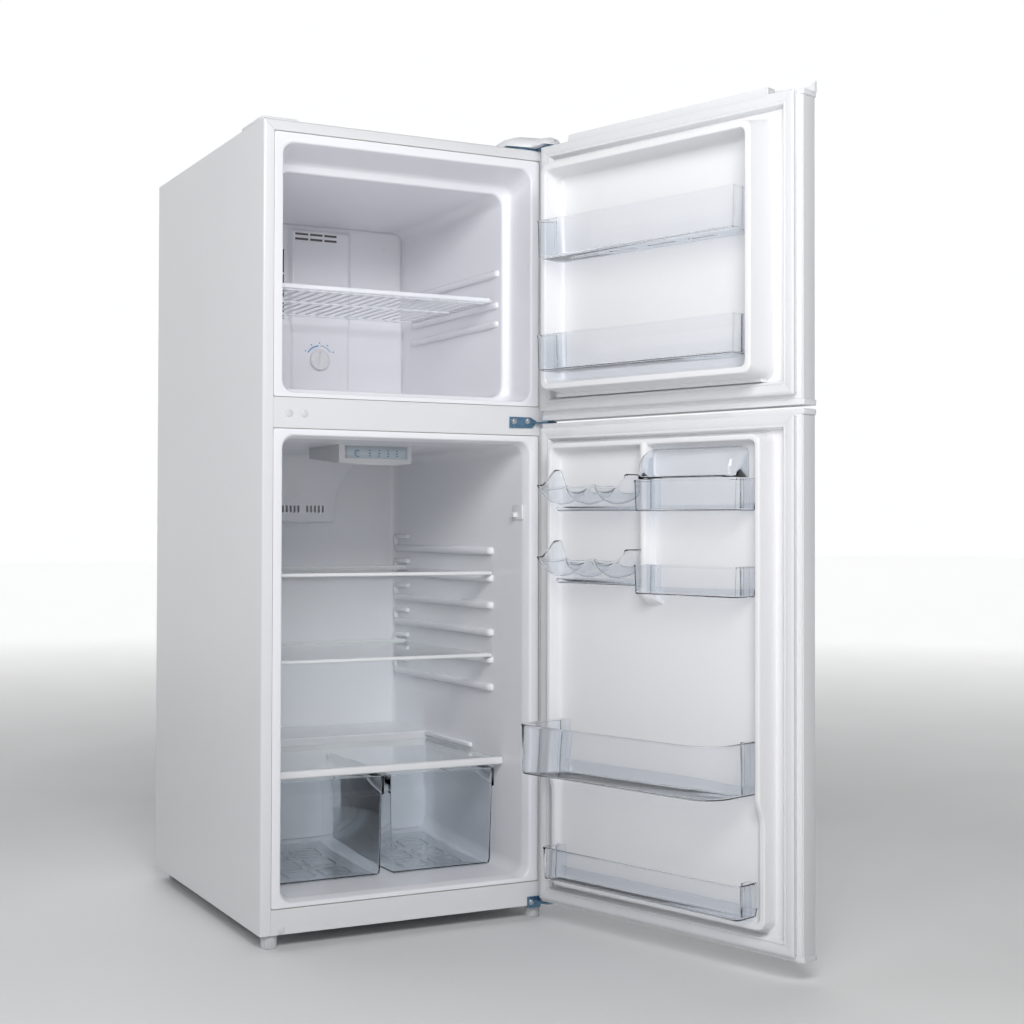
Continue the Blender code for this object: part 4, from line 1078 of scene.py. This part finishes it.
def make_end_caps(prefix, door_z):
    low, high = door_z
    shape = bmesh.new()
    add_cap(shape, (low, low + CAP_HEIGHT))
    if prefix == "fridge_door":
        bush = ((1.0, 1.0), (9.0, 1.0), (9.0, -4.0), (7.6, -5.6), (1.0, -5.6))
        add_rings(shape, turned(bush, (-541.0, -8.0, low), "z", 20))
    add_piece(prefix + "_bottom_moulding", shape, "plastic", prefix, prefix + "_bottom_cap", smooth=50)
    shape = bmesh.new()
    add_cap(shape, (high - CAP_HEIGHT, high))
    if prefix == "freezer_door":
        ridge = [(-519.5, high - 1), (-519.0, 1503.4), (-517.6, 1504.8), (-57.0, 1504.8), (-53.0, high - 1)]
        add_bar(shape, facing_y, ridge, (-7.5, RIM - 1.5))
        add_front_lip(shape, high - 1)
    add_piece(prefix + "_top_moulding", shape, "plastic", prefix, prefix + "_top_cap", smooth=50)


def make_door_inner(prefix, door_z, base_z, crest, outer, inner, top_draw):
    """The thermoformed inner sheet: rim, raised ring with round shoulders, recessed middle.

    outer and inner are how far the crest lies in from the ring's foot, and top_draw adds to both
    along the top, where the ring slopes more.
    """

    def row(inset, radius, y):
        draw = top_draw * min(1.0, inset / outer)
        return (*grown(RING_X, -inset), base_z[0] + inset, base_z[1] - inset - draw, radius, y)

    rows = [
        (DOOR_X[0] + 2.0, DOOR_X[1] - 2.0, door_z[0] + 9.0, door_z[1] - 9.0, 3.0, RIM - 2.0),
        (DOOR_X[0] + 3.5, DOOR_X[1] - 3.5, door_z[0] + 10.5, door_z[1] - 10.5, 3.0, RIM),
        row(0.0, 20.0, RIM),
        row(outer, 17.0, crest),
        row(inner, 10.0, crest),
        row(inner + 4.0, 9.0, FLOOR),
        row(inner + 50.0, 6.0, FLOOR),
    ]
    path = soften(rows, (1.5, 5.0, 6.0, 6.0, 16.0), 6)
    loops = [facing_y(rounded((a, b), (c, d), r, 7), y) for a, b, c, d, r, y in path]
    shape = bmesh.new()
    add_rings(shape, loops, start_cap=False)
    turn_faces(shape, (-289, 900, (base_z[0] + base_z[1]) / 2))
    if prefix == "fridge_door":
        lower_crest(shape, crest)
        add_divider(shape, base_z[1] - inner)
    else:
        bar = rounded((6.0, 32.0), (base_z[0] - 6.0, base_z[0] + 3.0), 2.0, 3)
        add_bar(shape, facing_x, bar, (-518.0, -44.0))
    add_piece(
        prefix + "_inner_sheet", shape, "door_liner", prefix, prefix + "_liner", smooth=60, sheet=1.2
    )
    shape = bmesh.new()
    core_top = min(crest, 45.5) - 6.0 if prefix == "fridge_door" else crest - 6.0
    core = [row(outer + 6.0, 9.0, 11.7), row(outer + 4.0, 9.0, core_top)]
    core += [row(inner - 5.0, 9.0, core_top), row(inner + 1.5, 9.0, FLOOR - 4.0)]
    add_rings(shape, [facing_y(rounded((a, b), (c, d), r, 7), y) for a, b, c, d, r, y in core])
    add_piece(prefix + "_foam_core", shape, "foam", prefix, prefix + "_insulation")


def lower_crest(shape, crest):
    """Brings the ring down below the deep bin, to the crest that the bottom bin needs."""
    low_crest, span = 45.5, (238.0, 284.0)
    for height in steps_between(*span, 5):
        bmesh.ops.bisect_plane(
            shape, geom=shape.verts[:] + shape.edges[:] + shape.faces[:],
            plane_co=(0.0, 0.0, height), plane_no=(0.0, 0.0, 1.0), dist=0.001,
        )
    for vertex in shape.verts:
        if vertex.co.y > FLOOR:
            share = smooth_step(*span, vertex.co.z)
            lowered = low_crest - FLOOR + (crest - low_crest) * share
            vertex.co.y = FLOOR + (vertex.co.y - FLOOR) * lowered / (crest - FLOOR)


def add_divider(shape, top):
    """The upright ridge between the racks and the small bins, dying away at its foot."""
    loops = []
    stations = (
        (602, -2.0, 24), (605, 5.0, 22), (610, 13.0, 16), (615, 20.0, 9), (620, 25.0, 3), (625, 27.0, 0),
        (top + 2, 27.0, 0),
    )
    for z, rise, flare in stations:
        crown = FLOOR + rise
        base = FLOOR - 3.0
        section = [(-291 - flare, base), (-288 - flare, crown - 5), (-285 - flare / 2, crown - 1)]
        section += [(-281, crown), (-277, crown - 1), (-274, crown - 5), (-269, base)]
        loops.append(facing_z(section, z))
    add_rings(shape, loops)


def make_gasket(prefix, span_z):
    """Four lengths of vinyl seal, mitred and welded at the corners, with a bead and a groove."""
    profile = [
        (2.6, RIM + 0.2), (2.6, 23.4), (0.4, 24.4), (0.0, 25.2), (0.0, 27.3), (1.0, 28.1),
        (6.0, GASKET_FACE), (16.4, 27.8), (17.0, 27.1), (17.6, 27.6), (20.8, 27.3), (22.0, 26.2),
        (23.4, 22.0), (25.2, 17.5), (25.6, RIM + 0.2),
    ]
    x0, x1 = -581.0, 3.0
    z0, z1 = span_z
    seam = 0.18
    shape = bmesh.new()

    def loop(a, b, inset_a, inset_b, slide_a, slide_b):
        return [
            (a + inset_a * i + slide_a, y, b + inset_b * i + slide_b) for i, y in profile
        ]

    runs = (
        (loop(x0, z0, 1, 1, seam, 0), loop(x1, z0, -1, 1, -seam, 0)),
        (loop(x1, z0, -1, 1, 0, seam), loop(x1, z1, -1, -1, 0, -seam)),
        (loop(x1, z1, -1, -1, -seam, 0), loop(x0, z1, 1, -1, seam, 0)),
        (loop(x0, z1, 1, -1, 0, -seam), loop(x0, z0, 1, 1, 0, seam)),
    )
    for start, stop in runs:
        add_rings(shape, [start, stop])
    add_piece(prefix + "_seal", shape, "gasket", prefix, prefix + "_gasket", smooth=50)


def add_end_channel(shape, edge, toward, back, depth, span_z):
    """The hook channel at a bin's end, which slides down over a lug of the door liner."""
    width = 9.0
    plate = sorted((edge + toward * width, edge + toward * (width + 1.8)))
    z = (span_z[0] + 3.5, span_z[1] - 0.4)
    add_block(shape, plate, (back + 2.6, back + depth), z, 0.6, 0.4)
    cross = sorted((edge + toward * 3.0, edge + toward * (width - 0.3)))
    add_block(shape, cross, (back + depth - 2.0, back + depth), z, 0.6, 0.4)


def make_bin(name, body, span_x, reach, span_z, radius=6.0, taper=3.0, depth=30.0):
    """A door bin: an open tray with a low back and a hook channel at each end."""
    shape = bmesh.new()
    back = FLOOR + 1.0
    radii = radius if isinstance(radius, tuple) else (4.0, radius, radius, 4.0)
    low, high = span_z
    back_share = 15.0 / (high - low)
    loops = tray_loops(span_x, (back, reach), span_z, taper, 2.2, radii)
    for loop in loops:
        for i in (-3, -2, -1, 0, 1, 2):
            x, y, z = loop[i]
            if z > low + 4.0:
                loop[i] = (x, y, low + (z - low) * back_share)
    add_rings(shape, loops)
    inner = (span_x[0] + taper + 2.4, span_x[1] - taper - 2.4)
    add_end_channel(shape, inner[0], 1, back, depth, span_z)
    add_end_channel(shape, inner[1], -1, back, depth, span_z)
    return add_piece(name + "_tray", shape, "clear", body, name, smooth=40)


def make_bins():
    wide = (-516.5, -61.5)
    upper = make_bin("freezer_bin_upper", "freezer_door", wide, 110.0, (1250.0, 1323.0))
    make_bin("freezer_bin_lower", "freezer_door", wide, 110.0, (1038.0, 1106.0))

    def floor_slots(cutters):
        for i in range(4):
            x = -455.0 + 90.0 * i
            add_block(cutters, (x, x + 62), (66, 76), (1240, 1262), 4.5, 0.2)

    carve(upper, DOOR, floor_slots)
    corner_radii = (4.0, 22.0, 58.0, 4.0)
    make_bin("large_bin", "fridge_door", (-516.0, -72.0), 172.0, (287.0, 379.0), corner_radii)
    make_bin("bottom_bin", "fridge_door", wide, 96.0, (80.0, 140.0), 14.0)
    small = (-514.0, -290.0)
    make_bin("dairy_bin", "fridge_door", small, 100.0, (772.0, 828.0))
    make_bin("small_bin", "fridge_door", small, 100.0, (624.0, 677.0))


def make_dairy_cover():
    """A clear domed lid with a full, squarish section and rounded ends."""
    left, right = -503.0, -292.5
    back, low, reach, rise, end_radius = 46.0, 829.5, 51.0, 55.5, 15.0
    xs = [left + step for step in (0.0, 0.6, 2.0, 4.5, 8.0, 12.0, 16.0)]
    xs += steps_between(left + 40.0, right - 40.0, 20)
    xs += [right - step for step in (16.0, 12.0, 8.0, 4.5, 2.0, 0.6, 0.0)]
    turns = [math.radians(a) for a in steps_between(0, 90, 6)]
    rows = []
    for x in xs:
        from_end = min(x - left, right - x, end_radius) / end_radius
        draw = end_radius * (1 - math.sqrt(1 - (1 - from_end) ** 2))
        rows.append(
            [
                (
                    x,
                    back + (reach - draw) * math.sin(a) ** 0.8,
                    low + (rise - draw) * math.cos(a) ** 0.8,
                )
                for a in turns
            ]
        )
    shape = bmesh.new()
    add_grid(shape, rows)
    for row in (rows[0], rows[-1]):
        hub = (row[0][0], back, low)
        shape.faces.new([shape.verts.new(point) for point in [hub, *row]])
    bmesh.ops.remove_doubles(shape, verts=shape.verts, dist=0.001)
    bmesh.ops.recalc_face_normals(shape, faces=shape.faces)
    turn_faces(shape, (-402, 400, 1200))
    add_piece("dairy_lid", shape, "clear", "dairy_cover", "dairy_cover", smooth=60, sheet=1.8)


def egg_rack_height(x, y):
    """Height above the rack's base: scooped cups with sharp ridges, between raised ends."""
    first, pitch = -65.0, 70.0
    place = (first - x) / pitch
    lean = 0.72
    across = 2 * (place - math.floor(place)) ** lean - 1 if 0 < place < 3 else 1.0
    cup = math.sqrt(max(0.0, 1 - across**2))
    bowl = math.sqrt(max(0.0, 1 - ((y - 72.0) / 34.0) ** 2))
    back = 1 - smooth_step(56.0, 96.0, y)
    height = 50.0 - 7.0 * cup * (1 - bowl) - (9.0 + 27.0 * cup) * bowl
    left_end = smooth_step(-84.0, -66.0, x)
    right_end = smooth_step(258.0, 282.0, -x)
    height += left_end * (30.0 * back + 9.0 * bowl) + right_end * (16.0 + 9.0 * bowl)
    return height


def make_egg_racks():
    """Scalloped troughs for eggs between raised ends, over a shallow base tray."""
    lanes = (106.0, 105.0, 102.0, 97.0, 90.0, 82.0, 74.0, 66.0, 58.0, 50.0, 44.0, 40.0)
    for name, base in (("egg_rack_upper", 773.0), ("egg_rack_lower", 638.0)):
        shape = bmesh.new()
        xs = steps_between(-283.0, -63.0, 2.5)
        rows = [[(x, y, base + egg_rack_height(x, y)) for x in xs] for y in lanes]
        hem = [(x, 105.0, base + egg_rack_height(x, 106.0) - 3.5) for x in xs]
        add_grid(shape, [hem, *rows])
        turn_faces(shape, (-163, 75, base + 400))
        add_piece(name + "_cups", shape, "clear", "fridge_door", name, smooth=60, sheet=1.6)
        shape = bmesh.new()
        span = ((-280.0, -92.0), (38.0, 90.0), (base, base + 9.0))
        add_rings(shape, tray_loops(*span, 1.5, 1.8, (4.0, 10.0, 10.0, 4.0), 0.2, 2.5))
        add_piece(name + "_tray", shape, "clear", "fridge_door", smooth=40)


def make_doors():
    for make in (make_door_slab, make_end_caps):
        make("freezer_door", FREEZER_DOOR_Z)
        make("fridge_door", FRIDGE_DOOR_Z)
    make_door_inner("freezer_door", FREEZER_DOOR_Z, (1000.0, 1449.0), 82.0, 5.0, 17.5, 8.0)
    make_door_inner("fridge_door", FRIDGE_DOOR_Z, (57.5, 906.5), 60.0, 2.0, 12.5, 1.0)
    make_gasket("freezer_door", (969.5, 1487.0))
    make_gasket("fridge_door", (22.0, 936.0))
    make_bins()
    make_dairy_cover()
    make_egg_racks()


# ---------------------------------------------------------------- carried-over CAD nodes


def dress_cad_nodes():
    """Gives each CAD node that stays visible its finished material."""
    dressed = {
        "paint": ("kick_rail", "mullion_cover"),
        "galvanised": ("rear_panel", "base_plate", "compressor_rail"),
        "foam": ("cabinet_insulation",),
        "zinc": ("top_hinge_bracket",),
        "aluminium": ("evaporator_coil",),
        "black": ("fan_motor",),
        "grey": ("evaporator_fan", "drain_pan"),
    }
    for look, names in dressed.items():
        for name in names:
            for material_slot in frame["nodes"][name].material_slots:
                material_slot.material = LOOKS[look]


# ---------------------------------------------------------------- studio

BACKDROP = 1.02  # strength of the even ground behind the refrigerator
MIDDLE = (0.0, 0.0, 0.85)
# name, place in metres, size in metres, power in watts
LIGHTS = (
    ("key", (-0.8, -2.4, 2.2), (1.2, 0.9), 41.0),
    ("key_left", (-2.0, -2.2, 1.9), (1.0, 0.9), 15.0),
    ("fill", (-1.5, -3.2, 1.1), (1.4, 1.0), 10.5),
)


def make_camera():
    """The camera stands where the photograph's perspective puts it."""
    data = bpy.data.cameras.new("camera")
    data.sensor_width = 36.0
    data.lens = 55.35
    data.shift_x = 0.0704
    data.shift_y = -0.0124
    data.clip_end = 100.0
    camera = bpy.data.objects.new("camera", data)
    bpy.context.scene.collection.objects.link(camera)
    yaw, pitch, roll = (math.radians(a) for a in (26.2417, 0.9553, 0.1754))
    ahead = Vector((math.sin(yaw) * math.cos(pitch), math.cos(yaw) * math.cos(pitch), math.sin(pitch)))
    right = Vector((math.cos(yaw), -math.sin(yaw), 0.0))
    up = right.cross(ahead)
    rolled_right = right * math.cos(roll) + up * math.sin(roll)
    rolled_up = up * math.cos(roll) - right * math.sin(roll)
    turn = Matrix((rolled_right, rolled_up, -ahead)).transposed().to_4x4()
    place = ORIGIN + Vector((-1274.3, -2707.5, 745.6)) * MM
    camera.matrix_world = Matrix.Translation(place) @ turn
    bpy.context.scene.camera = camera


def add_area_light(name, place, size, power):
    data = bpy.data.lights.new(name, "AREA")
    data.shape = "RECTANGLE"
    data.size, data.size_y = size
    data.energy = power
    light = bpy.data.objects.new(name, data)
    bpy.context.scene.collection.objects.link(light)
    light.location = place
    light.rotation_euler = (Vector(MIDDLE) - Vector(place)).to_track_quat("-Z", "Y").to_euler()


def make_studio():
    shape = bmesh.new()
    reach = 30.0
    points = [(-reach, -reach), (reach, -reach), (reach, reach), (-reach, reach)]
    shape.faces.new([shape.verts.new((x, y, 0.0)) for x, y in points])
    mesh = bpy.data.meshes.new("studio_floor")
    shape.to_mesh(mesh)
    shape.free()
    mesh.materials.append(LOOKS["floor"])
    floor = bpy.data.objects.new("studio_floor", mesh)
    bpy.context.scene.collection.objects.link(floor)

    make_world()
    for light in LIGHTS:
        add_area_light(*light)
    scene = bpy.context.scene
    scene.view_settings.view_transform = "Standard"
    scene.cycles.use_denoising = True


def make_world():
    """Light from behind the refrigerator; the camera itself sees one even pale backdrop."""
    world = bpy.data.worlds.new("studio")
    world.use_nodes = True
    nodes, links = world.node_tree.nodes, world.node_tree.links
    background = nodes["Background"]
    background.inputs["Color"].default_value = (0.98, 0.99, 1.0, 1.0)
    split = nodes.new("ShaderNodeSeparateXYZ")
    links.new(nodes.new("ShaderNodeTexCoord").outputs["Generated"], split.inputs["Vector"])
    behind = nodes.new("ShaderNodeMapRange")
    behind.inputs["From Max"].default_value = 0.5
    behind.inputs["To Max"].default_value = BACKDROP
    links.new(split.outputs["Y"], behind.inputs["Value"])
    seen = nodes.new("ShaderNodeMix")
    seen.inputs["B"].default_value = BACKDROP
    links.new(nodes.new("ShaderNodeLightPath").outputs["Is Camera Ray"], seen.inputs["Factor"])
    links.new(behind.outputs["Result"], seen.inputs["A"])
    links.new(seen.outputs["Result"], background.inputs["Strength"])
    bpy.context.scene.world = world


def main():
    make_camera()
    make_studio()
    make_shell()
    make_freezer_liner()
    make_fridge_liner()
    make_evaporator_cover()
    make_dial()
    make_wire_shelf()
    make_glass_shelves()
    make_crisper_cover()
    make_crispers()
    make_controls()
    make_duct_cover()
    make_door_switch()
    make_hinges()
    make_feet()
    make_machine_room()
    make_doors()
    dress_cad_nodes()


main()
